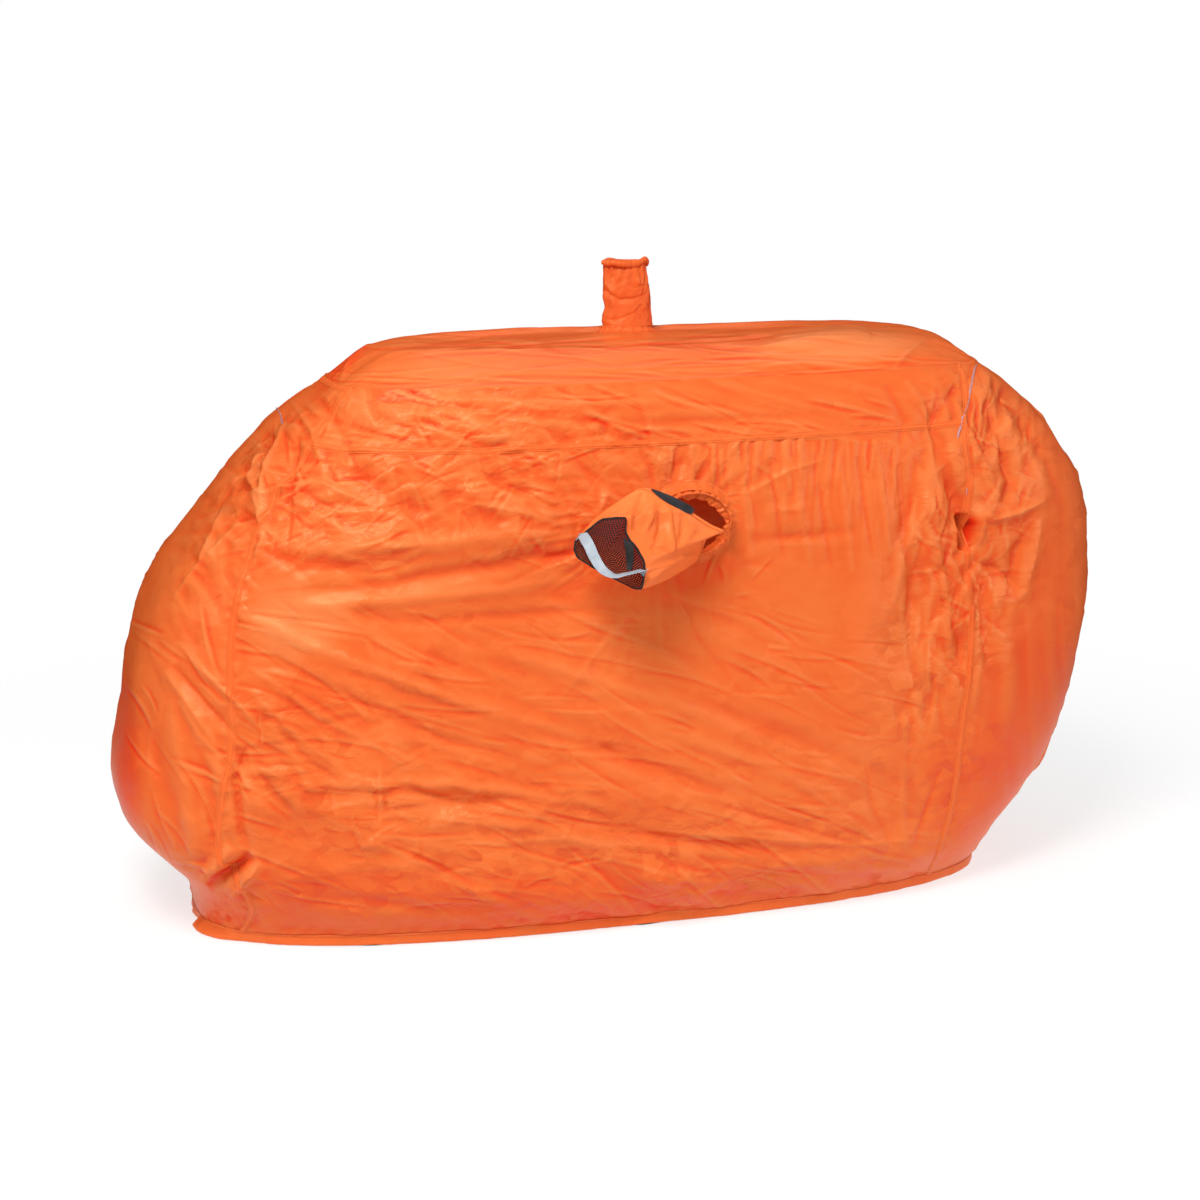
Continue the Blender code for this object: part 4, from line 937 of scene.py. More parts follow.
    # painted shade and highlight: the folds' painted tone kept on the mesh and the facets' painted tone make the colour
    # redder in shade and paler where light falls
    folds = put(tree, "ShaderNodeAttribute", attribute_name="folded")
    all_painted_shading = put(tree, "ShaderNodeMath", operation="ADD")
    link(folds.outputs["Fac"], all_painted_shading.inputs[0])
    link(facet_painted_shading, all_painted_shading.inputs[1])
    colour = with_painted_shading(tree, ramp.outputs["Color"], all_painted_shading.outputs[0])
    shine = put(tree, "ShaderNodeBsdfPrincipled", Roughness=rough)
    link(colour, shine.inputs["Base Color"])
    shine.inputs["Specular IOR Level"].default_value = spec
    shine.inputs["Specular Tint"].default_value = (1.0, 0.62, 0.34, 1)
    shine.inputs["Sheen Weight"].default_value = sheen
    shine.inputs["Sheen Roughness"].default_value = 0.4
    shine.inputs["Sheen Tint"].default_value = (1.0, 0.75, 0.55, 1)
    link(before.outputs["Normal"], shine.inputs["Normal"])
    thin = put(tree, "ShaderNodeBsdfTranslucent")
    link(colour, thin.inputs["Color"])
    link(before.outputs["Normal"], thin.inputs["Normal"])
    mix = put(tree, "ShaderNodeMixShader")
    mix.inputs["Fac"].default_value = through
    link(shine.outputs[0], mix.inputs[1])
    link(thin.outputs[0], mix.inputs[2])
    link(mix.outputs[0], out.inputs["Surface"])
    return mat


ORANGE = (0.82, 0.150, 0.030)
shell_cloth = ripstop("ripstop_shell", ORANGE, (0.81, 0.132, 0.025), (0.83, 0.170, 0.036), through=0.18, rough=0.36)
seam_cloth = ripstop("seam_fold", (0.80, 0.134, 0.026), (0.79, 0.118, 0.022), (0.81, 0.152, 0.031), through=0.08, crinkle=0.3, crinkle_base=0.3)


# ------------------------------------------------------------------ panels
def panel_from(name, points, mat, flip=False, cut=None, crumpled=None):
    """A sheet over [column, row, xyz] points, with the cloth's own coordinates in metres as its map."""
    c, r = points.shape[:2]
    across = np.linalg.norm(np.diff(points, axis=0), axis=2).mean(1)
    upward = np.linalg.norm(np.diff(points, axis=1), axis=2).mean(0)
    u = np.concatenate([[0], np.cumsum(across)])
    v = np.concatenate([[0], np.cumsum(upward)])
    uvs = np.stack(np.meshgrid(u, v, indexing="ij"), -1).reshape(-1, 2)
    quads = grid_faces(c, r, flip=flip)
    flat = points.reshape(-1, 3)
    worn = np.ones(len(flat)) if crumpled is None else np.asarray(crumpled, float)[..., 0].reshape(-1)
    depth = np.zeros(len(flat)) if crumpled is None else np.asarray(crumpled, float)[..., 1].reshape(-1)
    if cut is not None:
        middle = flat[quads].mean(1)
        quads = quads[~cut(middle)]
        used, index = np.unique(quads, return_inverse=True)
        flat, uvs, quads, worn, depth = flat[used], uvs[used], index.reshape(-1, 4), worn[used], depth[used]
    made = mesh_object(name, flat, quads, mat, uvs)
    # crumpled holds how crinkled the cloth is; folded holds its painted shade and highlight, redder in shade and paler
    # where light falls
    for name, values in (("crumpled", worn), ("folded", depth)):
        layer = made.data.attributes.new(name, "FLOAT", "POINT")
        layer.data.foreach_set("value", values.astype(np.float32))
    return made


HOLE_C = np.array([0.042, -0.252, 0.575]) - ORIGIN
ROOF_C = np.array([0.050, 0.060, 0.8065]) - ORIGIN


def in_front_hole(p):
    return (((p[:, 0] - HOLE_C[0]) / 0.0575) ** 2 + ((p[:, 2] - HOLE_C[2]) / 0.0475) ** 2 < 1) & (p[:, 1] < 0)


def in_roof_hole(p):
    return ((p[:, 0] - ROOF_C[0]) / 0.0375) ** 2 + ((p[:, 1] - ROOF_C[1]) / 0.0255) ** 2 < 1


def wall_part(first, last, low, high, of=None):
    columns = [i % COLS for i in range(first, last + 1)]
    return (wall if of is None else of)[columns, low:high + 1]


roof_grid = np.concatenate([
    wall_part(FL, FR, ER, ROWS - 1)[:, :-1],
    top,
    wall_part(BR, BL, ER, ROWS - 1)[::-1, ::-1][:, 1:],
], axis=1)
crinkled = crinkled * (0.30 + 0.70 * smooth01(WALL_FACING / 0.55) * seen + 0.55 * (1 - seen))
# each point carries how crinkled it is and its painted fold shade and highlight
crinkled = np.stack([crinkled, folded], -1)
# the roof: its folds' painted shade and highlight, a painted pool of light on the right of the roof, a painted
# highlight along the front ridge at the left, and painted shade at its left corner
roof_crinkles_and_shading = np.concatenate([
    wall_part(FL, FR, ER, ROWS - 1, crinkled)[:, :-1],
    np.stack([0.12 + 0.05 * top_uneven + 0.3 * left_crumple,
              0.6 * painted_fold_shading(top_height + top_rug, False) + 0.7 * top_crease_painted_shading + 2.2 * zone(TOP_PX, (840, 350), (75, 17), -4, 1.0) + 0.5 * zone(TOP_PX, (420, 372), (80, 10), 0, 1.0)
              - 1.5 * zone(TOP_PX, (345, 363), (38, 7), -45, 1.0)], -1),
    wall_part(BR, BL, ER, ROWS - 1, crinkled)[::-1, ::-1][:, 1:],
], axis=1)
pieces = {}
pieces["front_wall"] = panel_from("front_wall", wall_part(FL, FR, 0, ER), shell_cloth, cut=in_front_hole, crumpled=wall_part(FL, FR, 0, ER, crinkled))
pieces["back_wall"] = panel_from("back_wall", wall_part(BR, BL, 0, ER), shell_cloth, crumpled=wall_part(BR, BL, 0, ER, crinkled))
pieces["right_end"] = panel_from("right_end", wall_part(FR, BR, 0, ROWS - 1), shell_cloth, crumpled=wall_part(FR, BR, 0, ROWS - 1, crinkled))
pieces["left_end"] = panel_from("left_end", wall_part(BL, COLS, 0, ROWS - 1), shell_cloth, crumpled=wall_part(BL, COLS, 0, ROWS - 1, crinkled))
pieces["roof"] = panel_from("roof", roof_grid, shell_cloth, cut=in_roof_hole, crumpled=roof_crinkles_and_shading)
for piece, node, slot in (("front_wall", "front_panel", "orange_ripstop"), ("back_wall", "back_panel", "orange_ripstop"),
                          ("right_end", "right_end_panel", "orange_ripstop"), ("left_end", "left_end_panel", "orange_ripstop"),
                          ("roof", "roof_panel", "orange_ripstop")):
    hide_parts(node)
    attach(pieces[piece], "root")
    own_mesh(pieces[piece])

# ------------------------------------------------------------------ more materials
def plain_weave(tree, out, coord, base, deep, light, pitch, depth, rough, spec=0.25, sheen=0.0, ribs=None, metallic=0.0):
    """Colour that varies a little, and threads crossing at a pitch in metres."""
    link = tree.links.new
    cloudy = put(tree, "ShaderNodeTexNoise", Scale=60.0, Detail=3.0, Roughness=0.6)
    link(coord, cloudy.inputs["Vector"])
    ramp = put(tree, "ShaderNodeValToRGB")
    ramp.color_ramp.elements[0].position, ramp.color_ramp.elements[1].position = 0.3, 0.72
    ramp.color_ramp.elements[0].color, ramp.color_ramp.elements[1].color = (*deep, 1), (*light, 1)
    ramp.color_ramp.elements.new(0.5).color = (*base, 1)
    link(cloudy.outputs["Fac"], ramp.inputs["Fac"])
    split = put(tree, "ShaderNodeSeparateXYZ")
    link(coord, split.inputs["Vector"])
    waves = []
    for axis, one in (("X", pitch), ("Y", pitch if ribs is None else ribs), ("Z", pitch)):
        scale = put(tree, "ShaderNodeMath", operation="MULTIPLY")
        link(split.outputs[axis], scale.inputs[0])
        scale.inputs[1].default_value = 2 * math.pi / one
        wave = put(tree, "ShaderNodeMath", operation="SINE")
        link(scale.outputs[0], wave.inputs[0])
        waves.append(wave.outputs[0])
    first = put(tree, "ShaderNodeMath", operation="ADD")
    link(waves[0], first.inputs[0])
    link(waves[1], first.inputs[1])
    second = put(tree, "ShaderNodeMath", operation="ADD")
    link(first.outputs[0], second.inputs[0])
    link(waves[2], second.inputs[1])
    bump = put(tree, "ShaderNodeBump", Strength=0.6, Distance=depth)
    link(second.outputs[0], bump.inputs["Height"])
    shader = put(tree, "ShaderNodeBsdfPrincipled", Roughness=rough, Metallic=metallic)
    link(ramp.outputs["Color"], shader.inputs["Base Color"])
    shader.inputs["Specular IOR Level"].default_value = spec
    shader.inputs["Sheen Weight"].default_value = sheen
    link(bump.outputs["Normal"], shader.inputs["Normal"])
    return shader


def woven(name, base, deep, light, pitch, depth, rough, **more):
    mat, tree, out = new_material(name)
    coord = put(tree, "ShaderNodeTexCoord")
    shader = plain_weave(tree, out, coord.outputs["Object"], base, deep, light, pitch, depth, rough, **more)
    tree.links.new(shader.outputs[0], out.inputs["Surface"])
    return mat


def moulded(name, base, rough, bump_height=0.00006, scale=900.0, metallic=0.0, spec=0.5, worn=None):
    """Moulded plastic or drawn metal: fine grain, a little wear in the colour and the gloss."""
    mat, tree, out = new_material(name)
    link = tree.links.new
    coord = put(tree, "ShaderNodeTexCoord")
    grain = put(tree, "ShaderNodeTexNoise", Scale=scale, Detail=2.0)
    patches = put(tree, "ShaderNodeTexNoise", Scale=scale * 0.12, Detail=3.0)
    link(coord.outputs["Object"], grain.inputs["Vector"])
    link(coord.outputs["Object"], patches.inputs["Vector"])
    ramp = put(tree, "ShaderNodeValToRGB")
    ramp.color_ramp.elements[0].color = (*base, 1)
    ramp.color_ramp.elements[1].color = (*(worn or tuple(min(1.0, c * 1.6 + 0.004) for c in base)), 1)
    ramp.color_ramp.elements[0].position, ramp.color_ramp.elements[1].position = 0.45, 0.8
    link(patches.outputs["Fac"], ramp.inputs["Fac"])
    gloss = put(tree, "ShaderNodeMapRange")
    gloss.inputs["To Min"].default_value, gloss.inputs["To Max"].default_value = rough - 0.07, rough + 0.1
    link(patches.outputs["Fac"], gloss.inputs["Value"])
    bump = put(tree, "ShaderNodeBump", Strength=0.5, Distance=bump_height)
    link(grain.outputs["Fac"], bump.inputs["Height"])
    shader = put(tree, "ShaderNodeBsdfPrincipled", Metallic=metallic)
    shader.inputs["Specular IOR Level"].default_value = spec
    link(ramp.outputs["Color"], shader.inputs["Base Color"])
    link(gloss.outputs["Result"], shader.inputs["Roughness"])
    link(bump.outputs["Normal"], shader.inputs["Normal"])
    link(shader.outputs[0], out.inputs["Surface"])
    return mat


def netting(name, thread, pitch, hole):
    """Mesh fabric: round holes in a staggered pattern, the thread between them."""
    mat, tree, out = new_material(name)
    link = tree.links.new
    uv = put(tree, "ShaderNodeUVMap", uv_map="cloth")
    reach = []
    for shift in (0.0, 0.5):
        place = put(tree, "ShaderNodeMapping")
        place.inputs["Scale"].default_value = (1 / pitch, 1 / (pitch * 1.732), 1)
        place.inputs["Location"].default_value = (shift, shift, 0)
        link(uv.outputs["UV"], place.inputs["Vector"])
        part = put(tree, "ShaderNodeVectorMath", operation="FRACTION")
        link(place.outputs["Vector"], part.inputs[0])
        middle = put(tree, "ShaderNodeVectorMath", operation="SUBTRACT")
        middle.inputs[1].default_value = (0.5, 0.5, 0)
        link(part.outputs[0], middle.inputs[0])
        back = put(tree, "ShaderNodeVectorMath", operation="MULTIPLY")
        back.inputs[1].default_value = (1, 1.732, 0)
        link(middle.outputs[0], back.inputs[0])
        far = put(tree, "ShaderNodeVectorMath", operation="LENGTH")
        link(back.outputs[0], far.inputs[0])
        reach.append(far.outputs["Value"])
    near = put(tree, "ShaderNodeMath", operation="MINIMUM")
    link(reach[0], near.inputs[0])
    link(reach[1], near.inputs[1])
    open_at = put(tree, "ShaderNodeMapRange")
    open_at.inputs["From Min"].default_value, open_at.inputs["From Max"].default_value = hole - 0.06, hole + 0.06
    link(near.outputs[0], open_at.inputs["Value"])
    rounding = put(tree, "ShaderNodeBump", Strength=0.8, Distance=0.0003)
    link(near.outputs[0], rounding.inputs["Height"])
    noise_at = put(tree, "ShaderNodeTexNoise", Scale=160.0, Detail=2.0)
    link(uv.outputs["UV"], noise_at.inputs["Vector"])
    ramp = put(tree, "ShaderNodeValToRGB")
    ramp.color_ramp.elements[0].color = (*thread, 1)
    ramp.color_ramp.elements[1].color = (*(c * 1.9 for c in thread), 1)
    link(noise_at.outputs["Fac"], ramp.inputs["Fac"])
    shader = put(tree, "ShaderNodeBsdfPrincipled", Roughness=0.6)
    shader.inputs["Specular IOR Level"].default_value = 0.15
    link(ramp.outputs["Color"], shader.inputs["Base Color"])
    link(rounding.outputs["Normal"], shader.inputs["Normal"])
    gap = put(tree, "ShaderNodeBsdfTransparent")
    mix = put(tree, "ShaderNodeMixShader")
    link(open_at.outputs["Result"], mix.inputs["Fac"])
    link(gap.outputs[0], mix.inputs[1])
    link(shader.outputs[0], mix.inputs[2])
    link(mix.outputs[0], out.inputs["Surface"])
    return mat


vent_cloth = ripstop("ripstop_vent", (0.81, 0.138, 0.027), (0.80, 0.120, 0.023), (0.82, 0.156, 0.033), through=0.22, crinkle_base=0.5, rough=0.42)
hem_cloth = ripstop("hem_fold", (0.79, 0.136, 0.027), (0.78, 0.118, 0.023), (0.80, 0.154, 0.033), through=0.05, crinkle_base=0.5, rough=0.42)
sack_cloth = ripstop("sack_nylon", (0.91, 0.196, 0.044), (0.90, 0.170, 0.036), (0.92, 0.226, 0.056), through=0.15, weave=0.6, crinkle_base=0.12, rough=0.36)
thread_orange = woven("thread_orange", (0.90, 0.13, 0.03), (0.86, 0.11, 0.025), (0.93, 0.17, 0.04), 0.0006, 0.00008, 0.5)
thread_black = woven("thread_black", (0.012, 0.011, 0.011), (0.008, 0.008, 0.008), (0.03, 0.028, 0.028), 0.0006, 0.00008, 0.5)
grosgrain = woven("grosgrain_black", (0.016, 0.014, 0.014), (0.010, 0.009, 0.009), (0.034, 0.030, 0.029), 0.0011, 0.00012, 0.62, ribs=0.0007)
label_cloth = woven("label_satin", (0.020, 0.019, 0.022), (0.013, 0.012, 0.015), (0.036, 0.034, 0.038), 0.0007, 0.00006, 0.42)
webbing = woven("webbing_reflective", (0.36, 0.405, 0.45), (0.30, 0.34, 0.385), (0.44, 0.485, 0.53), 0.0013, 0.00016, 0.34, spec=0.6, ribs=0.0010)
piping_mat = woven("piping_reflective", (0.50, 0.24, 0.25), (0.42, 0.19, 0.20), (0.58, 0.32, 0.33), 0.0010, 0.00012, 0.34, spec=0.6)
seat_cloth = woven("seat_fabric", (0.022, 0.021, 0.022), (0.014, 0.013, 0.014), (0.040, 0.038, 0.040), 0.0014, 0.00016, 0.6)
tape_cloth = woven("seam_tape", (0.62, 0.085, 0.020), (0.55, 0.070, 0.016), (0.70, 0.110, 0.028), 0.0012, 0.00010, 0.5)
braid = woven("cord_braid", (0.085, 0.083, 0.090), (0.050, 0.048, 0.052), (0.150, 0.148, 0.155), 0.0008, 0.00018, 0.6)
plastic = moulded("plastic_black", (0.013, 0.012, 0.012), 0.36)
steel = moulded("spring_steel", (0.50, 0.50, 0.51), 0.28, metallic=1.0, worn=(0.62, 0.62, 0.63))
mesh_cloth = netting("vent_mesh", (0.017, 0.006, 0.005), 0.0029, 0.275)

for name in NODES:
    if name.endswith(("_lock_body", "_lock_button")):
        chosen = plastic
    elif name.endswith("_lock_spring"):
        chosen = steel
    elif name.endswith(("_drawcord", "_cord_knot")):
        chosen = braid
    else:
        continue
    for slot_at in bpy.data.objects[name].material_slots:
        slot_at.material = chosen


# ------------------------------------------------------------------ making pieces of several parts
def joined(name, parts, smooth=True):
    """One mesh of several (points, faces, material, uvs) parts; faces are arrays of 3 or 4 corners."""
    mesh = bpy.data.meshes.new(name)
    points, corners, sizes, which, uvs, first = [], [], [], [], [], 0
    mats = []
    for p, f, mat, uv in parts:
        p = np.asarray(p, float).reshape(-1, 3)
        f = np.asarray(f)
        points.append(p)
        corners.append((f + first).ravel())
        sizes.append(np.full(len(f), f.shape[1]))
        if mat not in mats:
            mats.append(mat)
        which.append(np.full(len(f), mats.index(mat)))
        uv = p[:, :2] if uv is None else np.asarray(uv, float).reshape(-1, 2)
        uvs.append(uv[f.ravel()])
        first += len(p)
    points, corners, sizes, which = (np.concatenate(q) for q in (points, corners, sizes, which))
    mesh.vertices.add(len(points))
    mesh.vertices.foreach_set("co", points.astype(np.float32).ravel())
    mesh.loops.add(len(corners))
    mesh.loops.foreach_set("vertex_index", corners.astype(np.int32))
    mesh.polygons.add(len(sizes))
    mesh.polygons.foreach_set("loop_start", np.concatenate([[0], np.cumsum(sizes)[:-1]]).astype(np.int32))
    mesh.update(calc_edges=True)
    mesh.polygons.foreach_set("material_index", which.astype(np.int32))
    layer = mesh.uv_layers.new(name="cloth")
    layer.data.foreach_set("uv", np.concatenate(uvs).astype(np.float32).ravel())
    for mat in mats:
        mesh.materials.append(mat)
    mesh.validate()
    if smooth:
        mesh.shade_smooth()
    made = bpy.data.objects.new(name, mesh)
    SCENE.collection.objects.link(made)
    return made


def sampled(grid, c, r, loop):
    """The grid at fractional columns and rows."""
    c0, r0 = grid.shape[:2]
    if loop:
        i = np.floor(c).astype(int)
        u = c - i
        i, i1 = i % c0, (i + 1) % c0
    else:
        c = np.clip(c, 0, c0 - 1)
        i = np.minimum(np.floor(c).astype(int), c0 - 2)
        u, i1 = c - i, i + 1
    r = np.clip(r, 0, r0 - 1)
    j = np.minimum(np.floor(r).astype(int), r0 - 2)
    v = (r - j)[..., None]
    u = u[..., None]
    return (1 - u) * (1 - v) * grid[i, j] + u * (1 - v) * grid[i1, j] + (1 - u) * v * grid[i, j + 1] + u * v * grid[i1, j + 1]


def sheet_part(points, mat, loop=False, flip=False):
    """(points, faces, material, uvs in metres) of a [column, row, xyz] grid."""
    c, r = points.shape[:2]
    around = np.concatenate([points, points[:1]]) if loop else points
    across = np.linalg.norm(np.diff(around, axis=0), axis=2).mean(1)
    upward = np.linalg.norm(np.diff(points, axis=1), axis=2).mean(0)
    u = np.concatenate([[0], np.cumsum(across)])[:c]
    v = np.concatenate([[0], np.cumsum(upward)])
    uvs = np.stack(np.meshgrid(u, v, indexing="ij"), -1).reshape(-1, 2)
    return points.reshape(-1, 3), grid_faces(c, r, loop=loop, flip=flip), mat, uvs


def stitches(a, b, out, mat, half=0.00045, high=0.0005):
    """Stitches from a to b, each a slim lozenge standing a little out of the cloth."""
    a, b, out = (np.asarray(v, float).reshape(-1, 3) for v in (a, b, out))
    side = unit(np.cross(b - a, out))
    middle = (a + b) / 2
    points = np.stack([a, b, middle + side * half, middle - side * half, middle + out * high, middle - out * high * 0.4], 1)
    faces = np.array([(0, 4, 2), (0, 3, 4), (1, 2, 4), (1, 4, 3), (0, 2, 5), (0, 5, 3), (1, 5, 2), (1, 3, 5)])
    faces = (faces[None] + 6 * np.arange(len(a))[:, None, None]).reshape(-1, 3)
    return points.reshape(-1, 3), faces, mat, None


def stitch_line(path, out, mat, pitch=0.0042, share=0.62, half=0.00045, high=0.0005, lift=0.0002):
    """A row of stitches along a path of points with their outward directions."""
    run = np.concatenate([[0], np.cumsum(np.linalg.norm(np.diff(path, axis=0), axis=1))])
    count = max(2, int(run[-1] / pitch))
    starts = np.arange(count) * (run[-1] / count)
    ends = starts + pitch * share
    def at(x):
        return np.stack([np.interp(x, run, path[:, k]) for k in range(3)], -1)
    outs = np.stack([np.interp((starts + ends) / 2, run, out[:, k]) for k in range(3)], -1)
    outs = unit(outs)
    return stitches(at(starts) + outs * lift, at(ends) + outs * lift, outs, mat, half, high)


def cloth_piece(piece, nodes, body="root", squash=True):
    for node in nodes:
        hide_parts(node)
    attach(piece, body)
    if squash:
        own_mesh(piece)


# ------------------------------------------------------------------ seams
WALL_OUT = normals_of(wall, True)
SEAM_PROFILE = ((-5.6, 0.15), (-5.0, 0.75), (-3.5, 0.95), (-3.1, 0.35), (-2.7, 1.0), (-1.2, 1.25), (0.0, 1.35),
                (1.2, 1.25), (2.7, 1.0), (3.1, 0.35), (3.5, 0.95), (5.0, 0.75), (5.6, 0.15))


def seam_on(grid, out, c_of, r_of, count, loop, wander_seed, tape=True):
    """Strip and stitches of a felled seam; c_of and r_of give fractional indices for (station, metres across)."""
    station = np.arange(count)
    rng = np.random.default_rng(wander_seed)
    wobble = np.interp(station, np.linspace(0, count, 18), rng.normal(0, 0.0005, 18))
    rows = []
    for d, h in SEAM_PROFILE:
        across = d * 0.001 + wobble
        c, r = c_of(station, across), r_of(station, across)
        p, n = sampled(grid, c, r, loop), unit(sampled(out, c, r, loop))
        ripple = 1 + 0.18 * np.sin(station * 1.9 + d)
        rows.append(p + n * (h * 0.001 * ripple)[:, None])
    strip = np.stack(rows, 1)
    parts = [sheet_part(strip, seam_cloth)]
    for line in (3, 9):
        c, r = c_of(station, SEAM_PROFILE[line][0] * 0.001 + wobble), r_of(station, SEAM_PROFILE[line][0] * 0.001 + wobble)
        parts.append(stitch_line(strip[:, line], unit(sampled(out, c, r, loop)), thread_orange))
    if tape:
        inner = []
        for d in (-9.5, -4.0, 0.0, 4.0, 9.5):
            c, r = c_of(station, np.full(count, d * 0.001)), r_of(station, np.full(count, d * 0.001))
            inner.append(sampled(grid, c, r, loop) - unit(sampled(out, c, r, loop)) * (0.0011 if abs(d) < 9 else 0.0006))
        parts.append(sheet_part(np.stack(inner, 1), tape_cloth, flip=True))
    return parts


def columns_apart(column, metres, rows):
    """Column index that far from a seam column, along each row."""
    rows = np.clip(np.asarray(rows), 0, ROWS - 1).astype(int)
    after = np.linalg.norm(WALL[(column + 1) % COLS, rows] - WALL[column % COLS, rows], axis=-1)
    before = np.linalg.norm(WALL[(column - 1) % COLS, rows] - WALL[column % COLS, rows], axis=-1)
    return column + metres / np.where(np.asarray(metres) > 0, after, before)


for corner, column in (("front_left", FL), ("front_right", FR), ("back_right", BR), ("back_left", BL)):
    parts = seam_on(wall, WALL_OUT, lambda k, d: columns_apart(column, d, k), lambda k, d: k.astype(float), ROWS, True, column)
    cloth_piece(joined("corner_seam_" + corner, parts), ["corner_tape_" + corner])

for side_name, first, last in (("front", FL, FR), ("back", BR, BL)):
    parts = seam_on(wall, WALL_OUT, lambda k, d: (first + k).astype(float), lambda k, d: ER + d / CELL, last - first + 1, True, 700 + first)
    cloth_piece(joined("eaves_seam_" + side_name, parts), ["eaves_tape_" + side_name])

for side_name, index, inward in (("right", columns_right, lambda k: top[-1 - k]), ("left", columns_left, lambda k: top[k])):
    reach = 12 // FINE
    under = np.stack([wall[index, ROWS - 1 - k] for k in range(reach, 0, -1)], 1)
    over = np.stack([inward(k) for k in range(reach + 1)], 1)
    patch = np.concatenate([under, over], 1)
    out = normals_of(patch, False)
    out = out * np.sign(out[..., 2:].mean())
    count = len(patch)
    parts = seam_on(patch, out, lambda k, d: k.astype(float), lambda k, d: reach + d / CELL, count, False, 900 + len(index))
    cloth_piece(joined("roof_end_seam_" + side_name, parts), ["roof_end_tape_" + side_name])

# thin grey piping in the two front corner seams; the fold covers it in places
def found_on_wall(places):
    """Points and normals of the wall where those places of the photograph's frame are seen."""
    near = WALL_FACING > -0.05
    flat_px, flat_p, flat_n = seen_at(wall)[near], wall[near], WALL_OUT[near]
    at = np.array([((flat_px - place) ** 2).sum(-1).argmin() for place in places])
    return flat_p[at], flat_n[at]


for side_name, bits in (("left", (((270, 400), (277, 408), (281, 416), (284, 426)),)),
                        ("right", (((978, 356), (975, 368), (969, 398), (963, 418), (957, 441)), ((968, 484), (966, 492), (966, 498))))):
    parts = []
    for bit in bits:
        bit = np.asarray(bit, float)
        runs = np.concatenate([[0], np.cumsum(np.linalg.norm(np.diff(bit, axis=0), axis=1))])
        stations = np.linspace(0, runs[-1], max(8, int(runs[-1] / 1.5)))
        places = np.stack([np.interp(stations, runs, bit[:, k]) for k in (0, 1)], -1)
        path, out = found_on_wall(places)
        for _ in range(3):
            path[1:-1] = (path[:-2] + 2 * path[1:-1] + path[2:]) / 4
            out[1:-1] = (out[:-2] + 2 * out[1:-1] + out[2:]) / 4
        out = unit(out)
        ends = np.minimum(stations, runs[-1] - stations)
        path = path + out * (-0.0022 + 0.0030 * smooth01(ends / 5))[:, None]
        along = unit(np.gradient(path, axis=0))
        side = unit(np.cross(along, out))
        turn = np.linspace(0, 2 * math.pi, 9)[:-1]
        ring = path[:, None] + 0.0008 * np.cos(turn)[None, :, None] * side[:, None] + 0.0008 * np.sin(turn)[None, :, None] * out[:, None]
        flange = np.stack([path, path - out * 0.0012 + side * 0.003, path - out * 0.0030 + side * 0.006], 1)
        parts += [sheet_part(ring.transpose(1, 0, 2), piping_mat, loop=True), sheet_part(flange, piping_mat)]
    cloth_piece(joined("piping_cord_" + side_name, parts), ["piping_" + side_name])

# ------------------------------------------------------------------ hem and seat panels
hem_noise = noise((COLS, 4), 14 // FINE, 51, True)[:, 0]
hem_fine = noise((COLS, 4), 5 // FINE, 52, True)[:, 0]
flat_out = unit(WALL_N[:, 0] * np.array([1, 1, 0]))
foot_px = seen_at(wall[:, 0])
tail = np.exp(-(((foot_px[:, 0] - 212) / 22) ** 2)) * (np.arange(COLS) < CF // 2) + \
    np.exp(-(((foot_px[:, 0] - 212) / 22) ** 2)) * (np.arange(COLS) > COLS - CS // 3)
low_line = 0.0004 + np.clip(0.0009 * hem_noise + 0.0005 * hem_fine, 0, 0.0022)
sway = 0.0012 * hem_noise + 0.0006 * hem_fine + 0.014 * tail
rows_of_hem = []
for share, away, height in ((0, 0.0006, None), (1, 0.0009, 0.0128), (2, 0.0010, 0.0104), (3, 0.0011, 0.0070), (4, 0.0009, 0.0036),
                            (5, 0.0002, 0.0010), (6, -0.0014, 0.0), (7, -0.0036, 0.0002), (8, -0.0052, 0.0016), (9, -0.0056, 0.0060), (10, -0.0054, 0.0125)):
    if height is None:
        p = wall[:, 2] + WALL_OUT[:, 2] * 0.0007
    else:
        p = wall[:, 0].copy()
        p[:, 2] = height + low_line * (1 if share < 7 else 0.6)
        p = p + flat_out * (away + sway * min(1.0, (0.0150 - height) / 0.012))[:, None]
    rows_of_hem.append(p)
hem_grid = np.stack(rows_of_hem, 1)
for side_name, first, last in (("front", FL, FR), ("right", FR, BR), ("back", BR, BL), ("left", BL, COLS)):
    index = [i % COLS for i in range(first, last + 1)]
    strip = hem_grid[index].copy()
    groove = 1
    strip[:, groove] -= flat_out[index] * 0.0005
    parts = [sheet_part(strip, hem_cloth)]
    parts.append(stitch_line(strip[:, groove] + flat_out[index] * 0.0004, flat_out[index], thread_orange, pitch=0.0050))
    cloth_piece(joined("hem_fold_" + side_name, parts), ["hem_" + side_name])

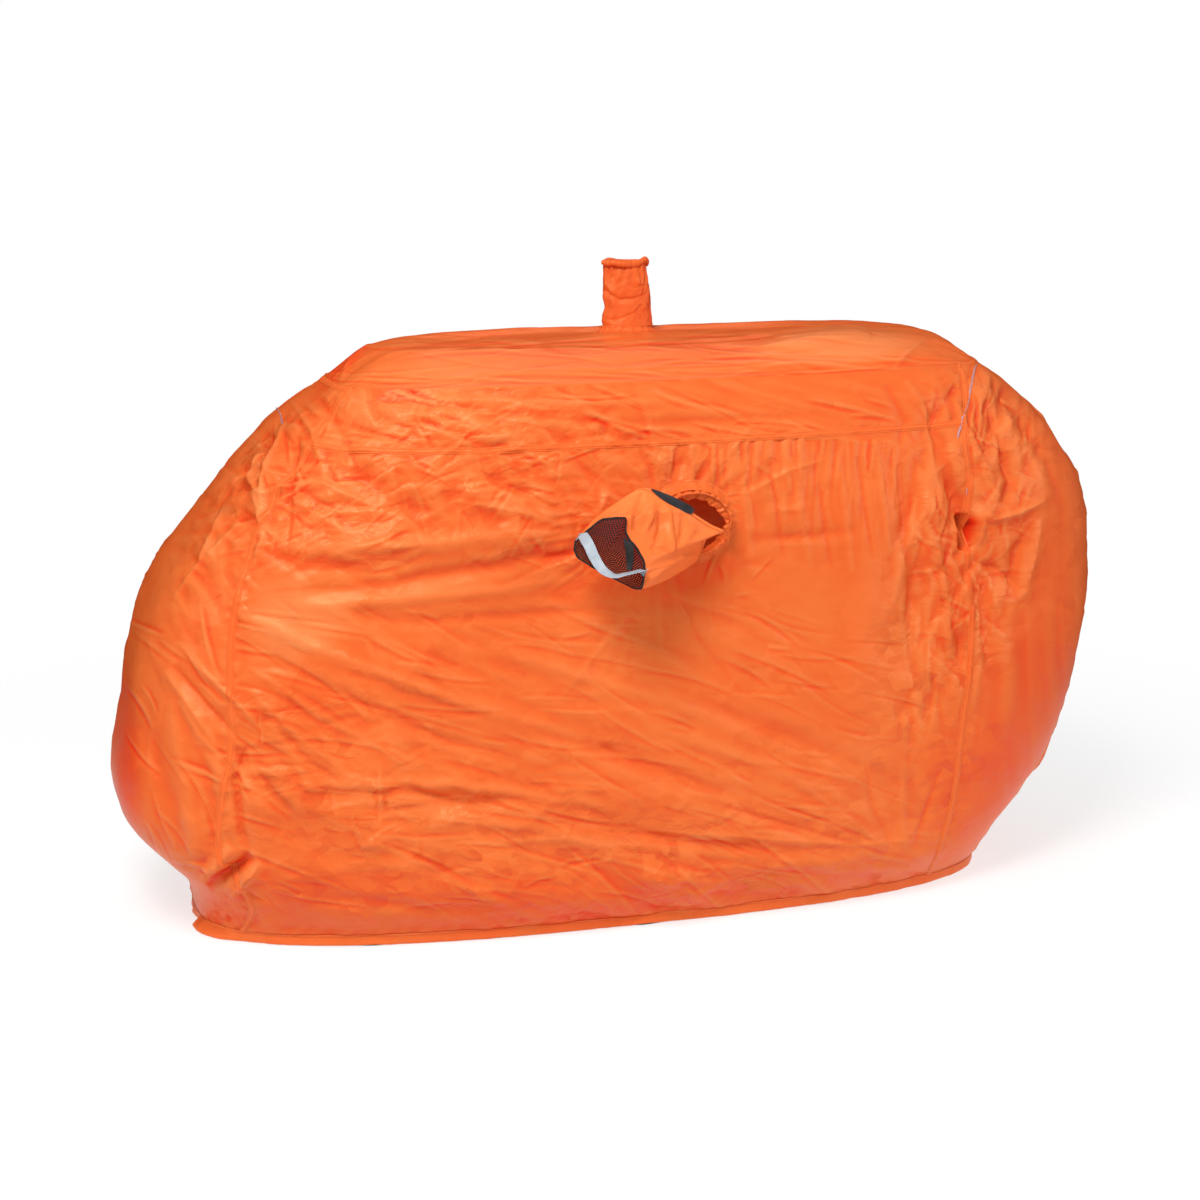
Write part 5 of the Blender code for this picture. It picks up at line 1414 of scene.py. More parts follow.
for side_name, first, last, edge, seed_at in (("front", FL + CF // 14, FR - CF // 14, -0.0147, 61), ("back", BR + CF // 14, BL - CF // 14, 0.0623, 62)):
    index = np.arange(first, last + 1, max(1, 2 // FINE))
    near = hem_grid[index % COLS, 7]
    count, deep_rows = len(index), 26
    rumple = noise((count, deep_rows), 7, seed_at, False)
    share = np.linspace(0, 1, deep_rows)[None, :, None]
    far = near.copy()
    far[:, 1] = edge
    strip = near[:, None] * (1 - share) + far[:, None] * share
    strip[..., 2] = 0.0004 + 0.0010 * smooth01(rumple * 0.8) * smooth01(np.minimum(share, 1 - share) * 6)[..., 0]
    strip[:, -1, 2] = 0.0003
    turn = strip[:, -2:].copy()
    turn[..., 2] += 0.0010
    flip = side_name == "front"
    parts = [sheet_part(strip, seat_cloth, flip=flip), sheet_part(turn, seat_cloth, flip=flip)]
    parts.append(stitch_line(strip[:, -2] + Z * 0.0006, np.tile(Z, (count, 1)), thread_black, pitch=0.005))
    cloth_piece(joined("seat_strip_" + side_name, parts), ["seat_panel_" + side_name])
print("seams", round(time.perf_counter() - CLOCK, 1))

# ------------------------------------------------------------------ roof vent
TOP_AXIS = np.array([0.0386, 0.0903, 0.0])
ROOF_Z = 0.8065


def nearest_roof(xy):
    flat = top.reshape(-1, 3)
    near = np.abs(flat[:, 0] - TOP_AXIS[0]) < 0.09
    flat = flat[near]
    d = ((flat[None, :, :2] - xy[:, None]) ** 2).sum(-1)
    return flat[d.argmin(1), 2]


def vent_rings(heights, a_of, b_of, count=112):
    angle = np.linspace(0, 2 * math.pi, count, endpoint=False)
    h = np.asarray(heights)
    a, b = eased(*a_of, h), eased(*b_of, h)
    x = TOP_AXIS[0] + a[None] * np.cos(angle)[:, None]
    y = TOP_AXIS[1] + b[None] * np.sin(angle)[:, None]
    return np.stack([x, y, np.broadcast_to(ROOF_Z + h[None], x.shape)], -1), angle


A_OF = ((0.0, 0.0075, 0.024, 0.040, 0.058, 0.075, 0.092), (0.0365, 0.0350, 0.0312, 0.0312, 0.0322, 0.0298, 0.0276))
B_OF = ((0.0, 0.0075, 0.024, 0.040, 0.058, 0.075, 0.092), (0.0245, 0.0230, 0.0200, 0.0192, 0.0180, 0.0150, 0.0125))
heights = np.linspace(0.0070, 0.0925, 64)
tube, angle = vent_rings(heights, A_OF, B_OF)
tube_n = normals_of(tube, True)
tube_px = seen_at(tube)
round_place = np.stack([np.broadcast_to(angle[:, None] * 30, tube.shape[:2]), np.broadcast_to(heights[None] * 1000, tube.shape[:2])], -1)
facing = smooth01(((tube_n * unit(CAMERA_AT - tube)).sum(-1) + 0.1) / 0.3)
VENT_FOLDS = [
    ([(603, 286), (612, 292), (622, 299), (634, 298), (647, 293)], 2.2, -1.7, "f"),
    ([(608, 272), (610, 284), (617, 295)], 2.0, 1.3, "c"),
    ([(617, 296), (616, 307), (620, 320)], 2.2, 1.2, "c"),
    ([(632, 289), (640, 286), (650, 285)], 1.8, -1.2, "c"),
    ([(640, 300), (646, 310), (648, 322)], 2.4, 1.0, "r"),
    ([(604, 318), (618, 320), (632, 314), (640, 306)], 2.2, -1.2, "c"),
    ([(626, 262), (622, 274), (616, 288)], 2.2, 1.4, "c"),
    ([(612, 263), (613, 272), (612, 284)], 2.0, -1.2, "c"),
    ([(633, 262), (637, 275), (640, 290)], 2.2, 1.1, "r"),
    ([(600, 300), (606, 308), (606, 320)], 2.0, -1.1, "c"),
]
bulk = stroke_field(tube_px, VENT_FOLDS) * facing
ruck = 0.0016 * facets(round_place, 13, 501, 60, 1.8) + 0.0008 * facets(round_place, 6.5, 502, 30, 1.4)
gather_top = smooth01((heights - 0.060) / 0.030)[None] * 0.0011 * (np.cos(angle * 15 + 0.7 * np.sin(angle * 3)) + 0.5 * np.cos(angle * 23 + 1))[:, None]
belly = 0.0016 * np.cos(angle - 0.2)[:, None] * np.sin((heights - 0.02) * 58)[None] + 0.0012 * np.cos(2 * angle + 1)[:, None] * np.sin(heights * 80)[None]
fade = smooth01((heights - 0.007) / 0.010)[None]
tube = tube + tube_n * ((bulk + ruck * 0.8 + belly) * fade + gather_top)[..., None]
mouth_lift = (0.0030 * np.exp(-((angle - 2.55) / 0.45) ** 2) + 0.0050 * np.exp(-((angle - 5.65) / 0.42) ** 2) - 0.0010 * np.exp(-((angle - 4.75) / 0.50) ** 2)
              + 0.0016 * np.exp(-((angle - 3.75) / 0.25) ** 2))
slack = 0.0085 * np.clip(-np.cos(angle), 0, 1) ** 0.8
sag_x = np.interp(heights, (0.0, 0.010, 0.022, 0.034, 0.046, 0.060, 0.075, 0.0925), (0.0, 0.45, 0.75, 0.62, 1.0, 0.85, 0.72, 0.68))
tube[..., 0] -= slack[:, None] * sag_x[None]
tube[..., 0] += (0.0018 * np.clip(np.cos(angle), 0, 1))[:, None] * np.interp(heights, (0.0, 0.03, 0.045, 0.060, 0.0925), (1.5, 0.6, 1.0, 0.2, -0.8))[None]
tube[..., 2] += mouth_lift[:, None] * smooth01((heights - 0.066) / 0.025)[None]
parts = [sheet_part(tube, vent_cloth, loop=True)]
back_seam = tube[28 + np.arange(-2, 3)] + tube_n[28 + np.arange(-2, 3)] * np.array([0.0002, 0.0009, 0.0011, 0.0009, 0.0002])[:, None, None]
parts.append(sheet_part(back_seam, seam_cloth))
sleeve = joined("roof_vent_sleeve", parts)
for node in ("top_vent_lower_sleeve", "top_vent_sleeve"):
    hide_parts(node)
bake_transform(sleeve)

# flared foot of the vent, sewn on the roof
levels = np.linspace(0, 1, 22)
foot_a = 0.0350 + 0.0125 * (1 - levels) ** 1.8
foot_b = 0.0230 + 0.0125 * (1 - levels) ** 1.8
fx = TOP_AXIS[0] + foot_a[None] * np.cos(angle)[:, None]
fy = TOP_AXIS[1] + foot_b[None] * np.sin(angle)[:, None]
rim_z = nearest_roof(np.stack([fx[:, 0], fy[:, 0]], -1))
for _ in range(3):
    rim_z = (np.roll(rim_z, 1) + 2 * rim_z + np.roll(rim_z, -1)) / 4
top_z = tube[:, 0, 2]
climb_share = levels ** 2.2
fz = (rim_z + 0.0006)[:, None] * (1 - climb_share)[None] + top_z[:, None] * climb_share[None]
fx = fx - (slack[:, None] * 0.5) * (levels ** 0.5)[None]
foot = np.stack([fx, fy, fz], -1)
foot[:, -1] = tube[:, 0]
foot_n = normals_of(foot, True)
pleat = (0.0009 * np.cos(angle * 19 + np.sin(angle * 2) * 2) + 0.0006 * np.cos(angle * 31))[:, None] * np.sin(np.pi * np.clip(levels, 0, 1))[None] ** 0.7
foot = foot + foot_n * pleat[..., None]
skirt = np.stack([foot[:, 0] - Z * 0.006, foot[:, 0]], 1)
parts = [sheet_part(foot, vent_cloth, loop=True), sheet_part(skirt, vent_cloth, loop=True)]
stitched = np.concatenate([foot[:, 2], foot[:1, 2]])
parts.append(stitch_line(stitched, np.concatenate([foot_n[:, 2], foot_n[:1, 2]]), thread_orange, pitch=0.0040, lift=0.0004))
cloth_piece(joined("roof_vent_foot", parts), ["top_vent_collar"], body="roof", squash=False)


def gathered_channel(centre, e1, e2, axis, a, b, high, thick, seed, ruffle, count=176, lift=None, gathers=1.0, fat=0.0):
    """A drawcord channel gathered round a mouth: a flattened tube of cloth in many small folds."""
    angle = np.linspace(0, 2 * math.pi, count, endpoint=False)
    around = np.linspace(0, 2 * math.pi, 15)[:-1]
    rng = np.random.default_rng(seed)
    phases = rng.uniform(0, 6.28, 4)
    fold = (np.cos(angle * 26 + phases[0] + np.sin(angle * 3 + phases[1])) + 0.6 * np.cos(angle * 41 + phases[2]) + 0.4 * np.cos(angle * 11 + phases[3]))
    fold = fold * gathers
    radial = unit(np.cos(angle)[:, None] * e1 * b + np.sin(angle)[:, None] * e2 * a)
    grid = []
    for k, w in enumerate(around):
        r_off = thick * np.cos(w) * (1 + 0.12 * fold) + fat * (1 + np.cos(w))
        h_off = high * (0.5 + 0.5 * np.sin(w)) + (ruffle * 0.9 * fold * (0.5 + 0.5 * np.sin(w)))
        swell = ruffle * fold * (0.6 + 0.4 * np.cos(w))
        p = centre + (a * np.cos(angle))[:, None] * e1 + (b * np.sin(angle))[:, None] * e2
        p = p + radial * (r_off + swell)[:, None] + axis * h_off[:, None]
        if lift is not None:
            p = p + axis * lift[:, None]
        grid.append(p)
    grid = np.stack(grid + [grid[0]], 1)
    return grid


angle_c = np.linspace(0, 2 * math.pi, 176, endpoint=False)
lift_c = np.interp(angle_c, np.append(angle, 2 * math.pi), np.append(mouth_lift, mouth_lift[0]))
mouth = gathered_channel(TOP_AXIS + Z * (ROOF_Z + 0.0908), X, Y, Z, 0.0284, 0.0130, 0.0100, 0.0030, 521, 0.0005, lift=lift_c, gathers=0.30,
                         fat=0.0034 * np.clip(-np.cos(angle_c), 0, 1) ** 0.8)
# the ear of cloth at the left end and the folded-over bump at the right
ear = np.exp(-((angle_c - 3.25) / 0.13) ** 2)[:, None] * np.interp(np.arange(15), (0, 3, 6, 14), (1.0, 0.8, 0.2, 1.0))[None]
mouth = mouth + ear[..., None] * np.array([-0.0040, -0.0006, 0.0018])
parts = [sheet_part(mouth, vent_cloth, loop=True, flip=True)]
line = mouth[:, 11]
ring_out = normals_of(mouth, True)[:, 11]
ring_out = ring_out * np.sign((ring_out * (line - line.mean(0))).sum(-1).mean())
parts.append(stitch_line(np.concatenate([line, line[:1]]), np.concatenate([ring_out, ring_out[:1]]), thread_orange, pitch=0.0034, lift=0.0003))
cloth_piece(joined("roof_vent_mouth", parts), ["top_vent_channel"], body="top_vent", squash=False)

# ------------------------------------------------------------------ front vent
def round_table(table, at, smooth_by=2):
    turns = np.radians([row[0] for row in table])
    knots = np.concatenate([turns - 2 * math.pi, turns, turns + 2 * math.pi])
    out = np.stack([np.interp(at, knots, np.tile([row[k] for row in table], 3)) for k in range(1, len(table[0]))], -1)
    for _ in range(smooth_by):
        out = (np.roll(out, 1, 0) + 2 * out + np.roll(out, -1, 0)) / 4
    return out


VENT_C = np.array([0.0306, -0.2217, 0.575])
angle = np.linspace(0, 2 * math.pi, 176, endpoint=False)


def nearest_wall(xz):
    flat = wall[:, :].reshape(-1, 3)
    near = (np.abs(flat[:, 0] - VENT_C[0]) < 0.10) & (np.abs(flat[:, 2] - VENT_C[2]) < 0.09) & (flat[:, 1] < 0)
    flat = flat[near]
    d = (flat[None, :, 0] - xz[:, :1]) ** 2 + (flat[None, :, 2] - xz[:, 1:]) ** 2
    return flat[d.argmin(1), 1]


reach = np.linspace(0, 1, 14)
ra = 0.0555 + 0.0120 * (1 - reach)
rb = 0.0455 + 0.0120 * (1 - reach)
gx = VENT_C[0] + ra[None] * np.cos(angle)[:, None]
gz = VENT_C[2] + rb[None] * np.sin(angle)[:, None]
rng = np.random.default_rng(77)
fold = (np.cos(angle * 21 + 1 + np.sin(angle * 3)) + 0.6 * np.cos(angle * 34 + 2) + 0.5 * np.cos(angle * 9))
wall_y = nearest_wall(np.stack([gx.ravel(), gz.ravel()], -1)).reshape(gx.shape)
for _ in range(4):
    wall_y = (np.roll(wall_y, 1, 0) + 2 * wall_y + np.roll(wall_y, -1, 0)) / 4
rim_y = np.full(len(angle), VENT_C[1] - 0.0100)
share = reach ** 2
gy = (wall_y - 0.0012) * (1 - share)[None] + rim_y[:, None] * share[None] - 0.0010 * fold[:, None] * np.sin(np.pi * reach)[None]
flange = np.stack([gx, gy, gz], -1)
depths = np.array([-0.0100, -0.0060, 0.0, 0.006, 0.0120, 0.0145])
inside = np.stack([np.stack([VENT_C[0] + (0.0545 - 0.0008 * fold) * np.cos(angle), np.full(len(angle), VENT_C[1] + d),
                             VENT_C[2] + (0.0445 - 0.0008 * fold) * np.sin(angle)], -1) for d in depths], 1)
parts = [sheet_part(flange, shell_cloth, loop=True), sheet_part(inside, vent_cloth, loop=True)]
out = normals_of(flange, True)
out = out * np.sign(-out[..., 1].mean())
line = flange[:, 3] + out[:, 3] * 0.0003
parts.append(stitch_line(np.concatenate([line, line[:1]]), np.concatenate([out[:, 3], out[:1, 3]]), thread_orange, pitch=0.0040))
cloth_piece(joined("front_vent_foot", parts), ["front_vent_collar"], body="front_vent", squash=False)

scallop = 0.0018 * np.abs(np.sin(angle * 7 + 0.8 * np.sin(angle * 2))) + 0.0012 * np.sin(angle * 4 + 1)
rim = gathered_channel(VENT_C - Y * 0.0106, X, Z, -Y, 0.0527, 0.0427, 0.0094, 0.0026, 541, 0.0007, lift=scallop - 0.0012)
parts = [sheet_part(rim, vent_cloth, loop=True, flip=True)]
LIP = ((-180, 0.97), (-60, 0.97), (-20, 0.94), (6, 0.87), (18, 0.79), (29, 0.755), (40, 0.775), (50, 0.715), (58, 0.76), (64, 0.81), (73, 0.765), (83, 0.80), (91, 0.795),
       (101, 0.745), (109, 0.89), (114, 0.97), (150, 0.98))
turn = np.linspace(0, 2 * math.pi, 352, endpoint=False)
far = round_table(LIP, turn, 3)
v = np.linspace(0, 1, 12)
ruffle = np.cos(turn * 24 + 2 * np.sin(turn * 3)) + 0.6 * np.cos(turn * 39 + 1)
f = 0.985 * (1 - v)[None] + far * v[None]
f = f + 0.006 * ruffle[:, None] * v[None]
lip_y = VENT_C[1] - 0.0150 + 0.0030 * v[None] ** 2 * np.ones((len(turn), 1)) - 0.0012 * ruffle[:, None] * (0.3 + 0.7 * v)[None]
lip_grid = np.stack([VENT_C[0] + 0.0527 * f * np.cos(turn)[:, None], lip_y, VENT_C[2] + 0.0427 * f * np.sin(turn)[:, None]], -1)
parts.append(sheet_part(lip_grid, shell_cloth, loop=True))
parts.append(sheet_part(lip_grid[:, ::-1] + Y * 0.0012, shell_cloth, loop=True))
line = rim[:, 12]
away = unit(line - VENT_C)
parts.append(stitch_line(np.concatenate([line, line[:1]]), np.concatenate([away, away[:1]]), thread_orange, pitch=0.0034, lift=0.0004))
cloth_piece(joined("front_vent_rim", parts), ["front_vent_channel"], body="front_vent", squash=False)

# ------------------------------------------------------------------ stuff sack
def on_px(px, depth):
    px = np.asarray(px, float)
    depth = np.asarray(depth, float)[..., None]
    return CAMERA_AT + depth * (AHEAD + RIGHT * ((px[..., :1] - 600) / FOCAL) + UP * ((600 - px[..., 1:]) / FOCAL))


def frame_of(e1, normal):
    normal = unit(normal)
    e1 = unit(np.asarray(e1, float) - normal * np.dot(e1, normal))
    return e1, np.cross(normal, e1), normal


MOUTH_C, MOUTH_A, MOUTH_B = np.array([0.0226, -0.2737, 0.585]), 0.055, 0.034
BASE_C, BASE_R = np.array([-0.1124, -0.3127, 0.557]), 0.050
m1, m2, mn = frame_of((0.87, 0.167, -0.46), (-0.25, -0.80, -0.45))
b1, b2, bn = frame_of((0.87, 0.167, -0.46), (-0.50, -0.84, 0.15))
COUNT = 144
angle = np.linspace(0, 2 * math.pi, COUNT, endpoint=False)
mouth_cad = MOUTH_C + MOUTH_A * np.cos(angle)[:, None] * m1 + MOUTH_B * np.sin(angle)[:, None] * m2
BASE_TARGET = ((0, 645.5, 571), (20, 644, 560), (40, 637, 547.5), (60, 629.5, 539), (75, 625.5, 531), (88, 627, 517), (100, 615, 517.5), (118, 601, 519),
               (140, 591, 527), (160, 582, 534.5), (180, 574.5, 541), (200, 574, 551), (220, 577.5, 558), (245, 590, 566), (270, 606, 575),
               (300, 624, 584), (318, 634, 589), (335, 642, 589.5), (350, 644, 579))


def on_base(px, lift):
    """Where that place of the photograph's frame meets the plane of the sack's base, lifted by so much."""
    px = np.asarray(px, float)
    ray = AHEAD + RIGHT * ((px[..., :1] - 600) / FOCAL) + UP * ((600 - px[..., 1:]) / FOCAL)
    run = ((BASE_C + bn * lift - CAMERA_AT) @ bn) / (ray @ bn)
    return CAMERA_AT + ray * run[..., None]


base_px = round_table(BASE_TARGET, angle)
base_ring = on_base(base_px, -0.004)
edge_ring = on_base(base_px, 0.0)
TARGET = ((-150, 648, 537), (-110, 664, 556), (-70, 684, 560), (-35, 699, 557), (-10, 703, 546), (8, 706, 537), (24, 726, 531.5),
          (40, 712, 526), (60, 701, 519), (90, 686, 509), (115, 668, 499), (135, 652, 489.5), (150, 641, 488), (165, 632, 496), (180, 634, 509))
turn_at = np.radians([t[0] for t in TARGET])
knots = np.concatenate([turn_at - 2 * math.pi, turn_at, turn_at + 2 * math.pi])
target = np.stack([np.interp(angle, knots, np.tile([t[k] for t in TARGET], 3)) for k in (1, 2)], -1)
for _ in range(3):
    target = (np.roll(target, 1, 0) + 2 * target + np.roll(target, -1, 0)) / 4
mouth_depth = (mouth_cad - CAMERA_AT) @ AHEAD
mouth_ring = on_px(target, mouth_depth - 0.004)
LEVELS = 56
t = np.linspace(0, 1, LEVELS)
share = smooth01(t) * 0.5 + t * 0.5
body = mouth_ring[:, None] * (1 - share)[None, :, None] + base_ring[:, None] * share[None, :, None]
middle = body.mean(0)
out = unit(body - middle[None])
full = 0.0050 * np.sin(np.pi * t)[None] * (1 + 0.4 * np.cos(angle * 2 + 0.6)[:, None])
body = body + out * full[..., None]
body_n = normals_of(body, True)
body_n = body_n * np.sign((body_n * out).sum(-1).mean())
body_px = seen_at(body)
SACK_FOLDS = [
    ([(654, 498), (651, 518), (641, 540)], 2.8, 3.6, "c"),
    ([(643, 492), (637, 512), (636, 532)], 2.4, -3.0, "r"),
    ([(631, 502), (630, 516), (630, 532)], 2.0, 2.2, "c"),
    ([(661, 503), (661, 528), (653, 552)], 2.8, -4.2, "r"),
    ([(670, 508), (671, 530), (675, 553)], 2.6, 3.6, "f"),
    ([(683, 514), (683, 532), (677, 555)], 2.6, -3.2, "r"),
    ([(650, 541), (662, 546), (674, 553)], 2.2, 2.6, "c"),
    ([(696, 524), (688, 538), (676, 552)], 2.4, 2.2, "c"),
    ([(643, 583), (660, 570), (680, 558), (700, 553)], 3.2, 3.4, "f"),
    ([(643, 545), (656, 549), (672, 551)], 2.4, -1.8, "c"),
    ([(712, 530), (700, 532), (690, 540)], 2.2, -2.2, "c"),
    ([(648, 577), (666, 568), (690, 556)], 3.0, -1.4, "r"),
]
seen_sack = smooth01(((body_n * unit(CAMERA_AT - body)).sum(-1) + 0.1) / 0.3)
edge_fade = smooth01(np.minimum(t, 1 - t) / 0.10)[None]
fold_h = stroke_field(body_px, SACK_FOLDS) * seen_sack
plane = np.stack([np.broadcast_to(angle[:, None] * 45, body.shape[:2]), np.broadcast_to(t[None] * 120, body.shape[:2])], -1)
soft = 0.0022 * facets(plane, 30, 601, 80, 2.4, wander=0.5) * (1 - seen_sack * 0.8) + 0.0007 * facets(plane, 14, 602, 85, 2.0)
body = body + body_n * ((fold_h + soft) * edge_fade)[..., None]
sack = joined("stuff_sack", [sheet_part(body, sack_cloth, loop=True)])
cloth_piece(sack, ["sack_sleeve"], body="sack", squash=False)

# folded hem round its mouth
hem_rows = int(0.075 * LEVELS) + 1
lip = body[:, :hem_rows + 1]
lip_n = body_n[:, :hem_rows + 1]
edge_dir = unit(body[:, 0] - body[:, 2])
outer = [lip[:, hem_rows] + lip_n[:, hem_rows] * 0.0002]
outer += [lip[:, k] + lip_n[:, k] * 0.0010 for k in range(hem_rows, -1, -1)]
rolled = [body[:, 0] + edge_dir * 0.0012 + lip_n[:, 0] * s for s in (0.0008, 0.0, -0.0008)]
inner = [lip[:, k] - lip_n[:, k] * 0.0011 for k in range(0, hem_rows + 1)]
band = np.stack(outer + rolled + inner, 1)
parts = [sheet_part(band, sack_cloth, loop=True)]
line = lip[:, hem_rows - 1] + lip_n[:, hem_rows - 1] * 0.0011
parts.append(stitch_line(np.concatenate([line, line[:1]]), np.concatenate([lip_n[:, 1], lip_n[:1, 1]]), thread_orange, pitch=0.0036))
cloth_piece(joined("stuff_sack_hem", parts), ["sack_mouth_hem"], body="sack", squash=False)

# bare label by the rim
upper_px = ((651.5, 488.5), (659, 491.0), (672, 496.0), (684, 502.0), (691.0, 506.0), (694.5, 509.5))
lower_px = ((651.5, 490.2), (658, 496.5), (668, 503.2), (678, 508.6), (686, 512.6), (692.0, 514.6))
label_u = np.linspace(0, 1, 48)
lines = []
for table in (upper_px, lower_px):
    table = np.asarray(table, float)
    lines.append(np.stack([np.interp(label_u, np.linspace(0, 1, len(table)), table[:, k]) for k in (0, 1)], -1))
label_v = np.linspace(0, 1, 7)
label_px = lines[0][:, None] * (1 - label_v)[None, :, None] + lines[1][:, None] * label_v[None, :, None]
rim_px, rim_depth = seen_at(body[:, :10]).reshape(-1, 2), ((body[:, :10] - CAMERA_AT) @ AHEAD).reshape(-1)
front_rim = (seen_sack[:, :10] > 0.3).reshape(-1)
rim_px, rim_depth = rim_px[front_rim], rim_depth[front_rim]
gap = ((label_px[:, :, None] - rim_px[None, None]) ** 2).sum(-1)
label_depth = rim_depth[gap.argmin(-1)]
for _ in range(8):
    label_depth[1:-1] = (label_depth[:-2] + 2 * label_depth[1:-1] + label_depth[2:]) / 4
label_depth = label_depth.mean(1, keepdims=True) - 0.0034 + 0.0006 * np.sin(label_u * 9)[:, None] + 0.0 * label_v[None]
label = on_px(label_px, label_depth)
label_n = normals_of(label, False)
label_n = label_n * np.sign((label_n * (CAMERA_AT - label)).sum(-1).mean())
edge_l = label - label_n * 0.0008
parts = [sheet_part(label, label_cloth), sheet_part(edge_l[::-1], label_cloth)]
for ends in ((edge_l[0], label[0]), (label[-1], edge_l[-1])):
    parts.append(sheet_part(np.stack(ends, 0), label_cloth))
for near, far in ((edge_l[:, 0], label[:, 0]), (label[:, -1], edge_l[:, -1])):
    parts.append(sheet_part(np.stack([near, far], 1), label_cloth))
for row in (1, 5):
    parts.append(stitch_line(label[8:-1, row], label_n[8:-1, row], braid, pitch=0.0030, half=0.0003, high=0.0003))
cloth_piece(joined("stuff_sack_label", parts), ["sack_label"], body="sack", squash=False)

# mesh base
rings_n = 30
radius = np.linspace(0.0018, BASE_R - 0.0012, rings_n)
wave = np.stack([np.outer(np.cos(angle), radius), np.outer(np.sin(angle), radius)], -1)
flat_px = wave * 1000
share_r = radius / BASE_R
hub_p = on_base((609, 552), 0.0)
sag = 0.0050 * (1 - share_r ** 2)[None]
pucker = (0.0011 * facets(flat_px, 26, 611, -50, 2.6) + 0.0006 * facets(flat_px, 11, 612, -50, 2.0)) * smooth01((BASE_R - radius) / 0.008)[None]
net = hub_p + (edge_ring - hub_p)[:, None] * share_r[None, :, None] + bn * (0.0002 + sag + pucker)[..., None]
hub = net[:, 0].mean(0)
points, faces, mat, _ = sheet_part(net, mesh_cloth, loop=True)
points = np.concatenate([points, hub[None]])
uvs = np.concatenate([wave.reshape(-1, 2), [[0, 0]]])
centre_faces = np.stack([np.full(COUNT, len(points) - 1), ((np.arange(COUNT) + 1) % COUNT) * rings_n, np.arange(COUNT) * rings_n], -1)
net_piece = joined("sack_mesh", [(points, faces, mesh_cloth, uvs), (points, centre_faces, mesh_cloth, uvs)])
cloth_piece(net_piece, ["sack_mesh_base"], body="sack", squash=False)

# binding folded over the edge where the mesh meets the sack
radial = np.cos(angle)[:, None] * b1 + np.sin(angle)[:, None] * b2
wav = 0.0004 * np.cos(angle * 17 + np.sin(angle * 5) * 2) + 0.0003 * np.cos(angle * 29)
edge_rows = []
for r, h in ((0.0480, 0.0010), (0.0486, 0.0017), (0.0495, 0.0020), (0.0503, 0.0014), (0.0507, 0.0000), (0.0506, -0.0014), (0.0503, -0.0026), (0.0497, -0.0030)):
    from_hub = edge_ring - hub_p
    far = np.linalg.norm(from_hub, axis=1, keepdims=True)
    edge_rows.append(hub_p + from_hub / far * (far + (r - 0.0500) + (wav * (1 if r < 0.048 else 0.4))[:, None]) + bn * h)
edge_grid = np.stack(edge_rows, 1)
parts = [sheet_part(edge_grid, grosgrain, loop=True, flip=True)]
line = edge_grid[:, 1] + bn * 0.0002
parts.append(stitch_line(np.concatenate([line, line[:1]]), np.tile(bn, (COUNT + 1, 1)), thread_black, pitch=0.0032, half=0.0003, high=0.0004))
cloth_piece(joined("sack_binding", parts), ["sack_base_binding"], body="sack", squash=False)

# webbing wedge inside the mesh
length = np.linspace(0, 1, 26)
wedge_px = [np.stack([np.interp(length, (0, 0.4, 1), xs), np.interp(length, (0, 0.4, 1), ys)], -1)
            for xs, ys in (((623.5, 625.5, 627.0), (537.5, 552.0, 570.0)), ((633.5, 634.0, 632.0), (545.0, 556.0, 570.0)))]
side_v = np.linspace(0, 1, 7)
wedge_at = wedge_px[0][:, None] * (1 - side_v)[None, :, None] + wedge_px[1][:, None] * side_v[None, :, None]
wedge = on_base(wedge_at, 0.0068) + bn * (0.0012 * np.sin(length * 7))[:, None, None]
under = wedge[:, ::-1] - bn * 0.0011
parts = [sheet_part(wedge, grosgrain), sheet_part(under, grosgrain)]
for side_s in (1, 5):
    parts.append(stitch_line(wedge[:, side_s] + bn * 0.0002, np.tile(bn, (26, 1)), thread_black, pitch=0.0028, half=0.0003, high=0.0003))
cloth_piece(joined("sack_webbing", parts), ["sack_webbing_tab"], body="sack", squash=False)

# reflective grab strap: face-on at its left end, edge-on at its right
STRAP_PX = ((0.0, 582.5, 534.7), (0.14, 588.7, 545.0), (0.30, 594.4, 557.5), (0.46, 603.0, 570.0), (0.60, 613.7, 575.8), (0.76, 626.0, 573.9), (1.0, 643.0, 570.0))
u = np.linspace(0, 1, 60)
knot_u = [k[0] for k in STRAP_PX]
path_px = np.stack([eased(knot_u, [k[i] for k in STRAP_PX], u) for i in (1, 2)], -1)
ends = [on_base(place, 0.0040) for place in ((582.5, 534.7), (643.0, 570.0))]
end_depth = [(e - CAMERA_AT) @ AHEAD for e in ends]
depth = end_depth[0] * (1 - u) + end_depth[1] * u - 0.0200 * np.sin(np.pi * u) ** 0.8
path = on_px(path_px, depth)
along = unit(np.gradient(path, axis=0))
twist = np.radians(np.interp(u, (0, 0.25, 0.45, 0.62, 0.8, 1.0), (4, 8, 30, 66, 74, 70)))
to_eye = unit(CAMERA_AT - path)
face = unit(to_eye - along * (to_eye * along).sum(-1, keepdims=True))
side = np.cross(along, face)
wide = side * np.cos(twist)[:, None] + face * np.sin(twist)[:, None]
thin = np.cross(wide, along)
half_w = np.interp(u, (0, 0.06, 1.0), (0.0066, 0.0072, 0.0062))
cross_s = np.linspace(-1, 1, 9)
upper = np.stack([path + wide * (half_w * s)[:, None] + thin * (0.00055 - 0.0004 * abs(s) ** 4) for s in cross_s], 1)
lower = np.stack([path + wide * (half_w * s)[:, None] - thin * (0.00055 - 0.0004 * abs(s) ** 4) for s in cross_s[::-1]], 1)
band = np.concatenate([upper, lower, upper[:, :1]], 1)
parts = [sheet_part(band, webbing)]
cloth_piece(joined("grab_strap", parts), ["sack_strap"], body="sack_strap", squash=False)

